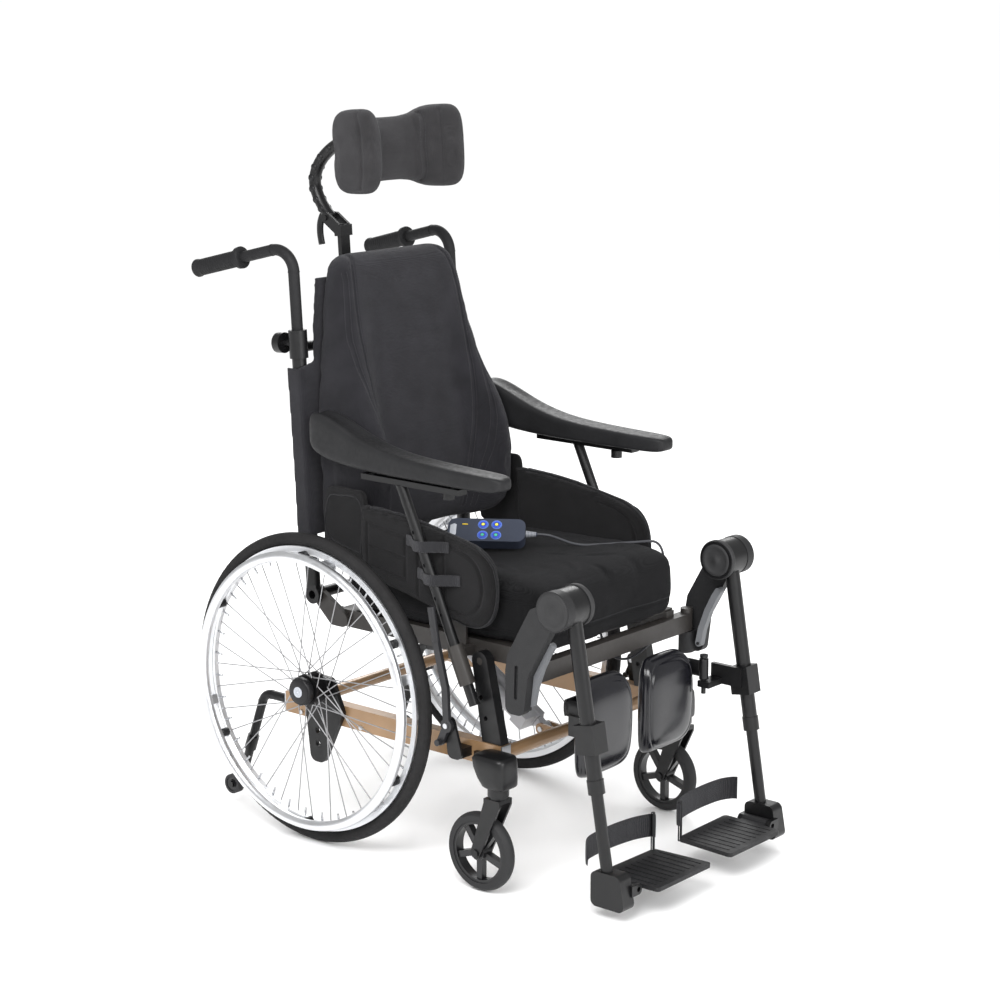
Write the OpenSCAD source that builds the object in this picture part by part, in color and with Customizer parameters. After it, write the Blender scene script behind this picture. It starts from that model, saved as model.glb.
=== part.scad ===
// Comfort wheelchair with powered tilt and recline, large spoked rear wheels and swing-away legrests.
// +X is the user's left, -Y the front, +Z up; lengths in mm. The left side is drawn and mirrored.

/* [Rear wheels] */
// Radius of the rear wheel over the tyre
wheel_r = 305; // [280:1:320]
// Width of the rear tyre
tyre_w = 28; // [22:1:34]
// Distance from the centre plane to the middle of the tyre
wheel_x = 289; // [280:1:300]
// Radius of the rim where the tyre sits
rim_r = 280.5; // [255:0.5:290]
// Number of spokes in each rear wheel
spoke_count = 36; // [24:4:40]
// Centre-line radius of the handrim
handrim_r = 264; // [230:1:270]
// Diameter of the handrim tube
handrim_d = 19.5; // [16:0.5:24]
// Diameter of the quick-release axle
axle_d = 12; // [10:0.5:16]

/* [Castors] */
// Radius of the front castor
castor_r = 75; // [60:1:80]
// Width of the castor tyre
castor_w = 24; // [18:1:28]
// Distance from the swivel axis back to the castor axle
castor_trail = 40; // [30:1:45]

/* [Chassis] */
// Height of the side rail tube
rail_h = 42; // [34:1:50]
// Width of the side rail tube
rail_w = 25; // [20:1:28]
// Wall of the side rail tube
rail_wall = 3; // [2:0.5:5]
// Diameter of the rear cross tube
cross_d = 25; // [20:1:30]

/* [Seat] */
// Width of the seat cushion
cushion_w = 422; // [380:2:424]
// Depth of the seat cushion
cushion_l = 500; // [430:1:504]
// Thickness of the seat cushion
cushion_h = 118; // [80:1:118]
// Height of the seat side tube
seat_tube_h = 30; // [24:1:34]

/* [Back] */
// Lean of the back tubes at rest
back_lean = 3.62; // [2:0.02:6]
// Outer diameter of the back tube
back_tube_d = 28; // [26:0.5:30]
// Diameter of the push handle tube that slides in it
handle_d = 22; // [20:0.5:23]
// Height of the back tube above the recline hinge
back_tube_l = 516; // [460:1:560]

/* [Armrests] */
// Diameter of the armrest post
post_d = 20; // [16:0.5:22]
// Length of the armrest pad
armpad_l = 478; // [400:1:478]
// Width of the armrest pad
armpad_w = 56; // [46:1:56]

/* [Legrests] */
// Radius of the knee barrel
knee_r = 36; // [30:1:38]
// Outer diameter of the upper leg tube
leg_tube_d = 28; // [26:0.5:30]
// Diameter of the lower leg tube that slides in it
foot_tube_d = 22; // [18:0.5:23]
// Length of a footplate from heel to toe
footplate_l = 130; // [110:1:150]
// Thickness of a footplate
footplate_t = 8; // [6:0.5:10]
// Width of a calf pad
calf_w = 140; // [120:1:140]

/* [Headrest] */
// Width of the headrest pad
headrest_w = 308; // [240:2:330]

/* [Handset] */
// Length of the handset
handset_l = 150; // [130:1:165]
// Width of the handset
handset_w = 54; // [48:1:60]
// Diameter of a handset button
button_d = 15; // [10:0.5:18]

/* [Fits] */
// Radial clearance of a shaft in its bore
fit = 0.05; // [0.03:0.01:0.09]
// Gap between pieces that pass each other
gap = 0.5; // [0.4:0.1:0.8]

/* [Hidden] */
$fn = 48;
// Half length and growth of the swaged ring at each end of a bend
swage = 1.2;
outline_fn = 32;

// Where things stand, measured from the rear axle: y backwards, z from the floor
front_reach = 762;
axle_z = wheel_r;

axle_bore_d = axle_d + 2 * fit;
pivot_d = 14;
pivot_bore_d = pivot_d + 2 * fit;
pin_d = 10;
pin_bore_d = pin_d + 2 * fit;

// Rails
rail_x = 222;
rail_out_x = rail_x + rail_w;
rail_z = 226;
rail_top = rail_z + rail_h;
rail_mid_x = rail_x + rail_w / 2;
rail_mid_z = rail_z + rail_h / 2;
rail_front_y = -440;
rail_rear_y = 113;

// Rear wheel
hub_in_x = rail_out_x + 15;
hub_out_x = wheel_x + 33;
hub_r = 22;
flange_r = 30;
flange_t = 6;
rim_w = 22;
rim_depth = 16;
rim_wall = 2.5;
rim_in_r = rim_r - rim_depth;
spoke_d = 2.2;
spoke_cross = 70;
handrim_x = wheel_x + 34;
tab_count = 6;

// Castor
castor_x = 284;
swivel_y = -465;
castor_y = swivel_y + castor_trail;
fork_crown_z = 178;
fork_top_z = 191;
housing_top_z = 252;
housing_d = 40;
castor_hub_w = castor_w + 2;
fork_t = 5;

// Anti-tip wheel
antitip_x = rail_mid_x;
antitip_wheel_r = 20;
antitip_y = 257;
antitip_z = 47;
antitip_w = 16;
antitip_stem_d = 18;

// Seat, tilt pivot and tilt actuator
tilt = [-385, 420];
seat_tube_x = 196;
seat_tube_w = 24;
seat_side_x = seat_tube_x + seat_tube_w / 2;
seat_z = 414;
pan_z = seat_z + seat_tube_h;
pan_t = 4;
cushion_z = pan_z + pan_t;
cushion_top = cushion_z + cushion_h;
cushion_front_y = -505;
front_bar_y = -496;
front_bar_d = 24;
front_bar_z = 396;
front_bar_h = 35;
seat_rear_y = 20;
tilt_x = -60;
tilt_a = [-392, 250];
tilt_b = [-120, 425];
ram_eye_t = 16;
open_gap = 2.5;

// Recline hinge and actuator
recline = [52, 470];
recline_tube_d = 22;
recline_x = 60;
recline_c = [-330, 412];
recline_d = [32, 398];

// Back: v is across the back tube, w along it, from the recline hinge
back_x = 225;
collar_h = 54;
handle_in_w = 340;
cushion_back_v = -21.5;
cover_v = -14.3;
back_cushion_bottom = 131;
back_cushion_top = 657;
back_half_w = 212;

// Armrest: sleeve axis through these y, z points
sleeve_top = [-343, 447];
sleeve_bottom = [-374.5, 378];
sleeve_lean = atan2(sleeve_top[0] - sleeve_bottom[0], sleeve_top[1] - sleeve_bottom[1]);
sleeve_len = norm(sleeve_top - sleeve_bottom);
sleeve_d = 31;
post_x = 263;
post_below = 40;
post_above = 318;
armpad_x = 245;
armpad_rear_y = 26;
armpad_z = 742;
panel_x = 216;
panel_t = 28;

// Legrest
leg_post = [250, front_bar_y];
leg_post_d = 18;
leg_post_z = 350;
knuckle_z = [352, 394];
knuckle_d = 30;
hanger_x = 266;
hanger_t = 18;
knee = [-590, 557];
lever_pin = [-523, 372];
drum_x = [210, 265.5];
leg_x = 243;
leg_lean = atan2(49, 283);
leg_top = [-602, 557];
leg_tube_l = 335;
foot_inside = 80;
foot_tube_end = 496;
calf_rod = [181, -588];
calf_rod_z = [300, 372];
calf_z = [212, 385];
calf_y = -572;
calf_t = 32;
plate_hinge = [213, 56];
plate_y = -front_reach;
knuckle_y = [-722, -668];
ear_t = 10;
strap_z = [80, 128];
strap_y = -636;
strap_t = 4;

// Push handle, in back coordinates v, w: the grip end is the rearmost point
handle_corner = [1.3, 677];
grip_end = [240.6, 632];
grip_r = (handle_d + 8) / 2;
grip_side = 21;
grip_dir = (grip_end - handle_corner) / norm([grip_end[0] - handle_corner[0], grip_end[1] - handle_corner[1], grip_side]);
grip_dir_y = grip_dir[0] * cos(back_lean) + grip_dir[1] * sin(back_lean);
rear_reach = recline[0] + grip_end[0] * cos(back_lean) + grip_end[1] * sin(back_lean)
  + grip_r * sqrt(1 - grip_dir_y * grip_dir_y);
axle_y = (front_reach - rear_reach) / 2;

// Headrest, in back coordinates v, w
bar_v = 80;
bar_w = 25;
bar_t = 10;
head_joint = [111, 712];
pad_joint = [46, 866];
pad_back_v = -22;

// Control box and handset
box_x = [122, 180];
box_y = [-330, -200];
box_z = [400, pan_z - 0.5];
gland_l = 14;
cord_d = 5;
cord_exit = [40, -290, 593];
handset_tilt = 40;
handset_turn = -55;
handset_t = 24;
relief_l = 22;
button_pitch = [26, 25];
button_x = -relief_l - handset_l + 68;
button_top = 1.4;
button_depth = 3.6;
cord_route = [
  [40, -290, 593], [46, -298, 593], [55, -311, 591], [66, -325, 585], [80, -341, 577],
  [97, -357, 572], [120, -374, 571], [145, -391, 571], [170, -407, 571], [190, -421, 571],
  [203, -434, 572], [212, -446, 571], [218, -455, 561], [221, -460, 541], [221, -461, 515],
  [221, -461, 485], [221, -461, 460], [220, -461, 435], [218, -460, 414], [212, -458, 396],
  [200, -454, 380], [184, -446, 364], [170, -434, 350], [160, -419, 342], [154, -402, 341],
  [151, -386, 348], [150, -373, 362], [150, -364, 380], [150, -357, 397], [150, -350, 411],
  [150, -344, 420]];
cord_sides = 8;

// ---------- helpers ----------
// Puts the rear axle where the origin is the middle of the footprint
module chair() {
  translate([0, axle_y, 0]) children();
}
// Draws the left-hand piece, or its mirror image on the right
module on_side(right) {
  chair() mirror([right ? 1 : 0, 0, 0]) children();
}
// Straight rod between two points
module rod(p, q, d) {
  v = q - p;
  translate(p)
    rotate([0, acos(v[2] / norm(v)), atan2(v[1], v[0])])
      cylinder(d = d, h = norm(v));
}
// Rod along X
module xrod(x0, x1, yz, d) {
  translate([x0, yz[0], yz[1]]) rotate([0, 90, 0]) cylinder(d = d, h = x1 - x0);
}
// Outline in the y-z plane, thickened along X from x0 to x1
module side_plate(x0, x1) {
  translate([x0, 0, 0]) rotate([90, 0, 90]) linear_extrude(x1 - x0) union() children();
}
// Polygon with its edges moved out by r and its corners rounded
module round_poly(pts, r) {
  offset(r = r, $fn = outline_fn) polygon(pts);
}
// Open line of points, thickened by r to each side with round ends and joints
module round_path(pts, r) {
  n = len(pts);
  sliver = [0.02, 0.013];
  offset(r = r, $fn = outline_fn) polygon(concat(pts, [for (i = [1 : n]) pts[n - i] + sliver]));
}
// Box between two corners
module block(a, b) {
  translate(a) cube(b - a);
}
function unit(v) = v / norm(v);
function bend_set_back(a, b, c, r) = r * tan(acos(unit(b - a) * unit(c - b)) / 2);
// Tube centre line through points, with true bends of one radius
module bent_rod(pts, d, r) {
  n = len(pts);
  for (i = [0 : n - 2]) {
    u = unit(pts[i + 1] - pts[i]);
    from = i == 0 ? pts[0] : pts[i] + u * bend_set_back(pts[i - 1], pts[i], pts[i + 1], r);
    to = i == n - 2
      ? pts[n - 1] : pts[i + 1] - u * bend_set_back(pts[i], pts[i + 1], pts[i + 2], r);
    rod(from, to, d);
  }
  for (i = [1 : n - 2]) {
    back = bend_set_back(pts[i - 1], pts[i], pts[i + 1], r);
    into = unit(pts[i] - pts[i - 1]);
    away = unit(pts[i + 1] - pts[i]);
    elbow(pts[i - 1], pts[i], pts[i + 1], d, r);
    rod(pts[i] - into * (back + swage), pts[i] - into * (back - swage), d + swage);
    rod(pts[i] + away * (back - swage), pts[i] + away * (back + swage), d + swage);
  }
}
module elbow(a, b, c, d, r) {
  u = unit(b - a);
  v = unit(c - b);
  turn = acos(u * v);
  side = unit(v - u * (u * v));
  out = cross(-side, u);
  o = b - u * (r * tan(turn / 2)) + side * r;
  multmatrix([
    [-side[0], u[0], out[0], o[0]],
    [-side[1], u[1], out[1], o[1]],
    [-side[2], u[2], out[2], o[2]],
    [0, 0, 0, 1]])
    rotate_extrude(angle = turn) translate([r, 0]) circle(d = d);
}
// Places back-rest pieces: local Y is v, local Z is w
module on_back() {
  chair() translate([0, recline[0], recline[1]]) rotate([-back_lean, 0, 0]) children();
}
// Places pieces that slide in the armrest sleeve: local Z is the sleeve axis
module on_sleeve() {
  translate([post_x, sleeve_bottom[0], sleeve_bottom[1]]) rotate([-sleeve_lean, 0, 0]) children();
}
// Places pieces on the leg tube: local -Z runs down the leg
module on_leg() {
  translate([leg_x, leg_top[0], leg_top[1]]) rotate([-leg_lean, 0, 0]) children();
}
// Places handset pieces: local X runs to the cord, local Z out of the face
module on_handset() {
  chair() translate(cord_exit) rotate([handset_tilt, 0, handset_turn]) children();
}

// ---------- chassis ----------
module side_rails() {
  color("tan") for (right = [false, true]) on_side(right) difference() {
    block([rail_x, rail_front_y, rail_z], [rail_out_x, rail_rear_y, rail_top]);
    block([rail_x + rail_wall, rail_front_y - 1, rail_z + rail_wall],
          [rail_out_x - rail_wall, rail_rear_y + 1, rail_top - rail_wall]);
  }
}
module cross_tubes() {
  front_y = -425;
  rear_y = 85;
  wall = 2.5;
  lug_t = 5;
  color("dimgray") chair() difference() {
    union() {
      for (y = [front_y, rear_y]) xrod(-rail_x, rail_x, [y, rail_mid_z], cross_d);
      for (s = [-1, 1]) translate([tilt_x + s * (ram_eye_t / 2 + gap + lug_t / 2), 0, 0])
        side_plate(-lug_t / 2, lug_t / 2) round_path([[front_y, rail_mid_z], tilt_a], pivot_d - 2.5);
    }
    for (y = [front_y, rear_y]) xrod(-rail_x - 1, rail_x + 1, [y, rail_mid_z], cross_d - 2 * wall);
    xrod(tilt_x - 30, tilt_x + 30, tilt_a, pin_bore_d);
  }
}
module side_brackets() {
  color("#202124") for (right = [false, true]) on_side(right) {
    castor_housing();
    axle_plate();
    brake_bracket();
  }
}
module castor_housing() {
  arm_r = 6;
  stem_d = axle_d + 2 * fit;
  difference() {
    union() {
      translate([castor_x, swivel_y, fork_top_z + 1]) cylinder(d = housing_d, h = housing_top_z - fork_top_z - 1);
      translate([0, 0, rail_z + 3]) linear_extrude(rail_h - 20)
        round_poly([[rail_out_x + arm_r, -432], [rail_out_x + arm_r, -388], [castor_x, swivel_y + 6],
                    [castor_x - 6, swivel_y - 6]], arm_r);
    }
    translate([castor_x, swivel_y, fork_top_z]) cylinder(d = stem_d, h = housing_top_z - fork_top_z - 6);
  }
}
module axle_plate() {
  plate_t = 10;
  difference() {
    side_plate(rail_out_x, rail_out_x + plate_t)
      round_poly([[-34, rail_mid_z + 8], [-12, axle_z], [12, axle_z], [34, rail_mid_z + 8], [22, 160], [12, 160]], 16);
    xrod(rail_out_x - 1, rail_out_x + plate_t + 1, [0, axle_z], axle_bore_d);
    for (z = [182, 208]) xrod(rail_out_x - 1, rail_out_x + plate_t + 1, [17, z], axle_bore_d);
  }
}
module brake_bracket() {
  out_x = wheel_x - 7.5;
  difference() {
    union() {
      side_plate(out_x - 6, out_x) round_poly([[-352, rail_top - 20], [-345, 302], [-362, rail_top - 20]], 12);
      block([rail_out_x, -370, rail_top - 30], [out_x - 3, -342, rail_top - 12]);
    }
    xrod(out_x - 10, out_x + 1, [-345, 300], pin_bore_d);
  }
}
module seat_supports() {
  foot = [rail_front_y + 2, -392];
  color("#1b1c1f") for (right = [false, true]) on_side(right) difference() {
    side_plate(rail_x, rail_x + 21) {
      translate(tilt) circle(18);
      polygon([[foot[0], rail_top], [foot[1], rail_top], [tilt[0] + 17, tilt[1] - 6], [tilt[0] - 17, tilt[1] + 6]]);
    }
    xrod(rail_x - 1, rail_x + 22, tilt, pivot_bore_d);
    for (t = [0.3, 0.55]) xrod(rail_x - 1, rail_x + 22,
      [foot[0] + 24 + t * 46, rail_top + t * (tilt[1] - rail_top)], 9);
  }
}
// Fixed pins, bolts and end caps: quick-release axles, brake pins, ram pin, rail caps
module chassis_hardware() {
  cap_t = 3;
  plug = rail_wall + gap / 5;
  color("silver") for (right = [false, true]) on_side(right) {
    xrod(rail_out_x + 0.6, hub_out_x - 4, [0, axle_z], axle_d);
    xrod(rail_out_x - 2, rail_out_x, [0, axle_z], axle_d + 8);
    for (y = [-320, -240, -90, 70])
      xrod(rail_out_x, rail_out_x + 3, [y, rail_mid_z - 14], 9);
    xrod(wheel_x - 17, wheel_x + 5, [-345, 300], pin_d);
    block([rail_x, rail_front_y - cap_t, rail_z], [rail_out_x, rail_front_y, rail_top]);
    translate([castor_x, swivel_y, housing_top_z]) cylinder(d = 30, h = 4);
  }
  color("silver") on_side(false) xrod(tilt_x - 16, tilt_x + 16, tilt_a, pin_d);
  color("black") for (right = [false, true]) on_side(right) difference() {
    union() {
      block([rail_x, rail_rear_y, rail_z], [rail_out_x, rail_rear_y + cap_t, rail_top]);
      block([rail_x + plug, rail_rear_y - 40, rail_z + plug],
            [rail_out_x - plug, rail_rear_y, rail_top - plug]);
    }
    rod([antitip_x, rail_rear_y - 41, rail_mid_z], [antitip_x, rail_rear_y + 5, rail_mid_z],
        antitip_stem_d + 2 * fit);
  }
}

// ---------- rear wheels ----------
module at_hub() {
  translate([wheel_x, 0, axle_z]) rotate([0, 90, 0]) children();
}
module rear_tyre(right) {
  section_r = tyre_w / 2;
  color("#3a3b3e") on_side(right) at_hub() rotate_extrude($fn = 96) intersection() {
    translate([wheel_r - section_r, 0]) circle(section_r);
    translate([rim_r, -tyre_w]) square([wheel_r, 2 * tyre_w]);
  }
}
module rear_wheel(right) {
  half = rim_w / 2;
  hub_in = hub_in_x - wheel_x;
  hub_out = hub_out_x - wheel_x;
  color("#d9dadc") on_side(right) at_hub() difference() {
    union() {
      rotate_extrude($fn = 96) difference() {
        polygon([[rim_r, -half], [rim_r, half], [rim_in_r + 5, half], [rim_in_r, half - 6],
                 [rim_in_r, 6 - half], [rim_in_r + 5, -half]]);
        translate([rim_in_r + rim_wall, -half + rim_wall]) square([rim_depth, rim_w - 2 * rim_wall]);
      }
      translate([0, 0, hub_in]) cylinder(r = hub_r, h = half + flange_t - hub_in);
      for (z = [-half - flange_t, half]) translate([0, 0, z]) cylinder(r = flange_r, h = flange_t);
      for (i = [0 : spoke_count - 1]) spoke(i);
    }
    translate([0, 0, hub_in - 1]) cylinder(d = axle_bore_d, h = hub_out - hub_in + 2);
  }
  cap_from = half + flange_t + 0.02;
  color("#17181a") on_side(right) at_hub() difference() {
    union() {
      translate([0, 0, cap_from]) cylinder(r = hub_r, h = hub_out - 6 - cap_from);
      translate([0, 0, hub_out - 6]) cylinder(r = hub_r + 3, h = 9);
    }
    translate([0, 0, cap_from - 1]) cylinder(d = axle_bore_d, h = hub_out - 6 - cap_from + 1);
    translate([0, 0, hub_out - 7]) cylinder(d = axle_d + 4, h = 7);
  }
}
// One tangent spoke: spokes leave alternate flanges, and each pair that crosses passes side by side
module spoke(i) {
  forward = floor(i / 2) % 2 == 0;
  flange = i % 2 == 0 ? 1 : -1;
  lean = forward ? spoke_cross : -spoke_cross;
  a = i * 360 / spoke_count;
  near_z = flange * (rim_w / 2 + (forward ? flange_t - 1.4 : 1.4));
  far_z = flange * (forward ? spoke_d + 0.8 : 0);
  rod([(flange_r - 4) * cos(a + lean), (flange_r - 4) * sin(a + lean), near_z],
      [(rim_in_r + 1.5) * cos(a), (rim_in_r + 1.5) * sin(a), far_z], spoke_d);
}
module handrim(right) {
  tab_w = 18;
  inner = rim_w / 2 + 0.01;
  reach = handrim_x - wheel_x;
  color("#e3e4e6") on_side(right) at_hub() {
    translate([0, 0, reach]) rotate_extrude($fn = 96) translate([handrim_r, 0]) circle(d = handrim_d);
  }
  color("#17181a") on_side(right) at_hub() for (i = [0 : tab_count - 1]) rotate(i * 360 / tab_count + 15)
    difference() {
      translate([handrim_r - 4, -tab_w / 2, inner]) cube([14, tab_w, reach - inner - 2]);
      translate([0, 0, reach]) rotate_extrude($fn = 96) translate([handrim_r, 0]) circle(d = handrim_d + 0.1);
      translate([handrim_r + 3, 0, inner - 1]) cylinder(d = 5, h = 6);
    }
}

// ---------- castors ----------
module castor_fork(right) {
  tine_in = castor_hub_w / 2 + gap;
  color("#2b2c30") on_side(right) translate([castor_x, 0, 0]) {
    translate([0, swivel_y, fork_crown_z]) cylinder(d = axle_d, h = housing_top_z - fork_crown_z - 8);
    translate([0, swivel_y, fork_crown_z]) cylinder(d = 34, h = fork_top_z - fork_crown_z);
    block([-tine_in - fork_t, swivel_y - 17, fork_crown_z], [tine_in + fork_t, swivel_y + 20, fork_crown_z + 8]);
    for (s = [-1, 1]) translate([s * (tine_in + fork_t / 2), 0, 0])
      side_plate(-fork_t / 2, fork_t / 2)
        round_poly([[swivel_y - 7, fork_crown_z - 2], [swivel_y + 10, fork_crown_z - 2], [castor_y + 1, castor_r],
                    [castor_y - 1, castor_r]], 10);
    xrod(-tine_in - fork_t - 3, tine_in + fork_t + 3, [castor_y, castor_r], 8);
    for (s = [-1, 1]) translate([s * (tine_in + fork_t + 1.5), 0, 0]) xrod(-1.5, 1.5, [castor_y, castor_r], 15);
  }
}
module castor_wheel(right) {
  spokes = 5;
  tread = 16;
  color("#2f3033") on_side(right) translate([castor_x, castor_y, castor_r]) rotate([0, 90, 0]) {
    rotate_extrude($fn = 72) intersection() {
      translate([castor_r - tread, -castor_w / 2]) square([tread, castor_w]);
      translate([castor_r - 15, 0]) circle(15);
    }
    difference() {
      union() {
        translate([0, 0, -castor_hub_w / 2]) cylinder(r = 15, h = castor_hub_w);
        rotate_extrude($fn = 72) translate([castor_r - tread - 6, -10]) square([6, 20]);
        for (i = [0 : spokes - 1]) rotate(i * 360 / spokes)
          translate([10, -6, -7]) cube([castor_r - tread - 13, 12, 14]);
      }
      translate([0, 0, -castor_hub_w]) cylinder(d = 8 + 2 * fit, h = 2 * castor_hub_w);
    }
  }
}

// ---------- anti-tip arms ----------
module antitip_arm(right) {
  color("#1b1c1f") on_side(right) {
    bent_rod([[antitip_x, rail_rear_y - 38, rail_mid_z], [antitip_x, 184, rail_mid_z],
              [antitip_x, antitip_y - 4, antitip_z + 12]], antitip_stem_d, 28);
    rod([antitip_x, 219, 151], [antitip_x, 230, 122], antitip_stem_d + 6);
    xrod(antitip_x - 11, antitip_x + 11, [antitip_y, antitip_z], 22);
    xrod(antitip_x + 5, antitip_x + antitip_w + 16, [antitip_y, antitip_z], 8);
    xrod(antitip_x + antitip_w + 12.5, antitip_x + antitip_w + 16, [antitip_y, antitip_z], 14);
  }
}
module antitip_wheel(right) {
  color("#3a3b3e") on_side(right) translate([antitip_x + 12, antitip_y, antitip_z]) rotate([0, 90, 0])
    difference() {
      cylinder(r = antitip_wheel_r, h = antitip_w);
      translate([0, 0, -1]) cylinder(d = 8 + 2 * fit, h = antitip_w + 2);
      for (z = [-1, antitip_w - 2]) translate([0, 0, z]) difference() {
        cylinder(r = 15, h = 3);
        translate([0, 0, -1]) cylinder(r = 9, h = 5);
      }
    }
}

// ---------- wheel locks ----------
module brake_lever(right) {
  pivot = [-345, 300];
  shoe = [38 * cos(65), -38 * sin(65)];
  x0 = wheel_x - 6;
  x1 = wheel_x + 2;
  color("#8d9094") on_side(right) {
    difference() {
      side_plate(x0, x1) {
        translate(pivot) circle(13);
        round_path([pivot + shoe, pivot, [-341, 372], [-318, 458]], 7);
      }
      xrod(x0 - 1, x1 + 1, pivot, pin_bore_d);
    }
    xrod(x0 - 8, x1 + 8, pivot + shoe, 12);
    rod([(x0 + x1) / 2, -319, 455], [(x0 + x1) / 2, -307, 519], 15);
  }
}

// ---------- seat ----------
module seat_frame() {
  lug_t = 5;
  color("#3c3d40") chair() {
    difference() {
      union() {
        for (s = [-1, 1]) translate([s * seat_tube_x, 0, 0])
          block([-seat_tube_w / 2, front_bar_y, seat_z], [seat_tube_w / 2, seat_rear_y, pan_z]);
        block([-seat_side_x, -60, seat_z + 16], [seat_side_x, -38, pan_z]);
        block([-leg_post[0], front_bar_y - front_bar_d / 2, front_bar_z],
              [leg_post[0], front_bar_y + front_bar_d / 2, front_bar_z + front_bar_h]);
        block([-seat_side_x, front_bar_y + 4, pan_z - 0.5], [seat_side_x, 0, pan_z + pan_t]);
        for (s = [-1, 1]) translate([s * leg_post[0], leg_post[1], front_bar_z])
          cylinder(d = front_bar_d, h = front_bar_h + 9);
        ram_lugs(tilt_x, tilt_b, lug_t);
        ram_lugs(recline_x, recline_c, lug_t);
      }
    }
    for (s = [-1, 1]) translate([s * leg_post[0], leg_post[1], leg_post_z])
      cylinder(d = leg_post_d, h = front_bar_z - leg_post_z);
    xrod(tilt_x - 16, tilt_x + 16, tilt_b, pin_d);
    xrod(recline_x - 16, recline_x + 16, recline_c, pin_d);
  }
  color("#3c3d40") for (right = [false, true]) on_side(right) {
    xrod(seat_side_x, rail_x + 20, tilt, pivot_d);
    difference() {
      side_plate(seat_side_x, seat_side_x + 10) {
        round_poly([[-14, seat_z + 15], [8, seat_z + 15], recline], 15);
        translate(recline) circle(18);
      }
      xrod(seat_side_x - 1, seat_side_x + 11, recline, recline_tube_d + 2 * fit);
    }
    block([seat_side_x, -330, seat_z + 12], [panel_x, -296, pan_z]);
    block([panel_x - 4.5, -330, pan_z - 10], [panel_x, -296, 520]);
    block([seat_side_x, -345, seat_z + 6], [post_x - 13, -327, seat_z + 22]);
    difference() {
      union() {
        on_sleeve() cylinder(d = sleeve_d, h = sleeve_len);
        block([post_x - 14, -345, seat_z + 6], [post_x, -327, seat_z + 22]);
      }
      on_sleeve() translate([0, 0, -30]) cylinder(d = post_d + 2 * fit, h = sleeve_len + 60);
    }
  }
}
// Two ears hanging from the seat pan that hold a ram's pin
module ram_lugs(x, at, lug_t) {
  for (s = [-1, 1]) translate([x + s * (ram_eye_t / 2 + gap + lug_t / 2), 0, 0])
    side_plate(-lug_t / 2, lug_t / 2) {
      translate(at) circle(11);
      polygon([[at[0] - 11, at[1]], [at[0] + 11, at[1]], [at[0] + 16, pan_z], [at[0] - 16, pan_z]]);
    }
}
module seat_cushion() {
  r = 18;
  color("#2a2a2d") chair() intersection() {
    translate([0, 0, cushion_z]) linear_extrude(cushion_h)
      round_poly([[-cushion_w / 2 + r, cushion_front_y + r], [cushion_w / 2 - r, cushion_front_y + r],
                  [cushion_w / 2 - r, cushion_front_y + cushion_l - r],
                  [-cushion_w / 2 + r, cushion_front_y + cushion_l - r]], r);
    side_plate(-cushion_w, cushion_w)
      round_poly([[cushion_front_y + 26, cushion_top - 26], [cushion_front_y + 26, cushion_z + 26],
                  [cushion_front_y + cushion_l + 20, cushion_z + 26],
                  [cushion_front_y + cushion_l + 20, cushion_top - 26]], 26);
  }
}
module side_panel(right) {
  color("#2f2f33") on_side(right) side_plate(panel_x, panel_x + panel_t)
    round_poly([[-74, 572], [-74, 684], [-96, 690], [-398, 644], [-424, 620], [-431, 585], [-424, 510],
                [-400, 477], [-376, 468], [-192, 512]], 12);
}

// ---------- control box, handset and cord ----------
module control_box() {
  wall = 2.5;
  lid_z = box_z[0] + 3;
  battery = [8, 10, 6];
  color("#1c1d20") chair() {
    difference() {
      block([box_x[0], box_y[0], lid_z], [box_x[1], box_y[1], box_z[1]]);
      block([box_x[0] + wall, box_y[0] + wall, lid_z - 1], [box_x[1] - wall, box_y[1] - wall, box_z[1] - wall]);
    }
    block([box_x[0], box_y[0], box_z[0]], [box_x[1], box_y[1], lid_z]);
    block([box_x[0] + battery[0], box_y[0] + battery[1], lid_z], [box_x[1] - battery[0], box_y[1] - battery[1], box_z[1] - battery[2]]);
    difference() {
      translate([150, box_y[0], 420]) rotate([90, 0, 0]) cylinder(d1 = 16, d2 = 9, h = gland_l);
      translate([150, box_y[0] - gland_l + 6, 420]) rotate([90, 0, 0]) cylinder(d = cord_d, h = gland_l);
    }
  }
}
module handset() {
  r = 16;
  x0 = -relief_l - handset_l;
  x1 = -relief_l;
  bore = button_d + 0.8;
  color("#3d4654") on_handset() difference() {
    union() {
      translate([0, 0, -handset_t / 2]) linear_extrude(handset_t)
        round_poly([[x0 + r, r - handset_w / 2], [x1 - r, r - handset_w / 2],
                    [x1 - r, handset_w / 2 - r], [x0 + r, handset_w / 2 - r]], r);
      translate([x1 - 1, 0, 0]) rotate([0, 90, 0]) cylinder(d1 = 13, d2 = 8, h = relief_l + 1);
    }
    for (i = [0, 1], j = [-1, 1])
      translate([button_x + i * button_pitch[0], j * button_pitch[1] / 2, handset_t / 2 - button_depth])
        cylinder(d = bore, h = button_depth + 1);
  }
  color("#22252b") on_handset() {
    translate([x0 + 30, handset_w / 2 - 12, -handset_t / 2 - 16]) cube([handset_l - 60, 8, 16]);
  }
}
module button(i, j, tint) {
  color(tint) on_handset()
    translate([button_x + i * button_pitch[0], j * button_pitch[1] / 2, handset_t / 2 + button_top - 3.4])
      cylinder(d = button_d, h = 3.4);
}
function tangent(p, i) = unit(p[min(i + 1, len(p) - 1)] - p[max(i - 1, 0)]);
function ring(p, i, d, sides) =
  let (t = tangent(p, i), a = unit(cross(t, [0.31, 0.37, 0.88])), b = cross(t, a))
  [for (k = [0 : sides - 1]) p[i] + d / 2 * (cos(360 * k / sides) * a + sin(360 * k / sides) * b)];
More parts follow.
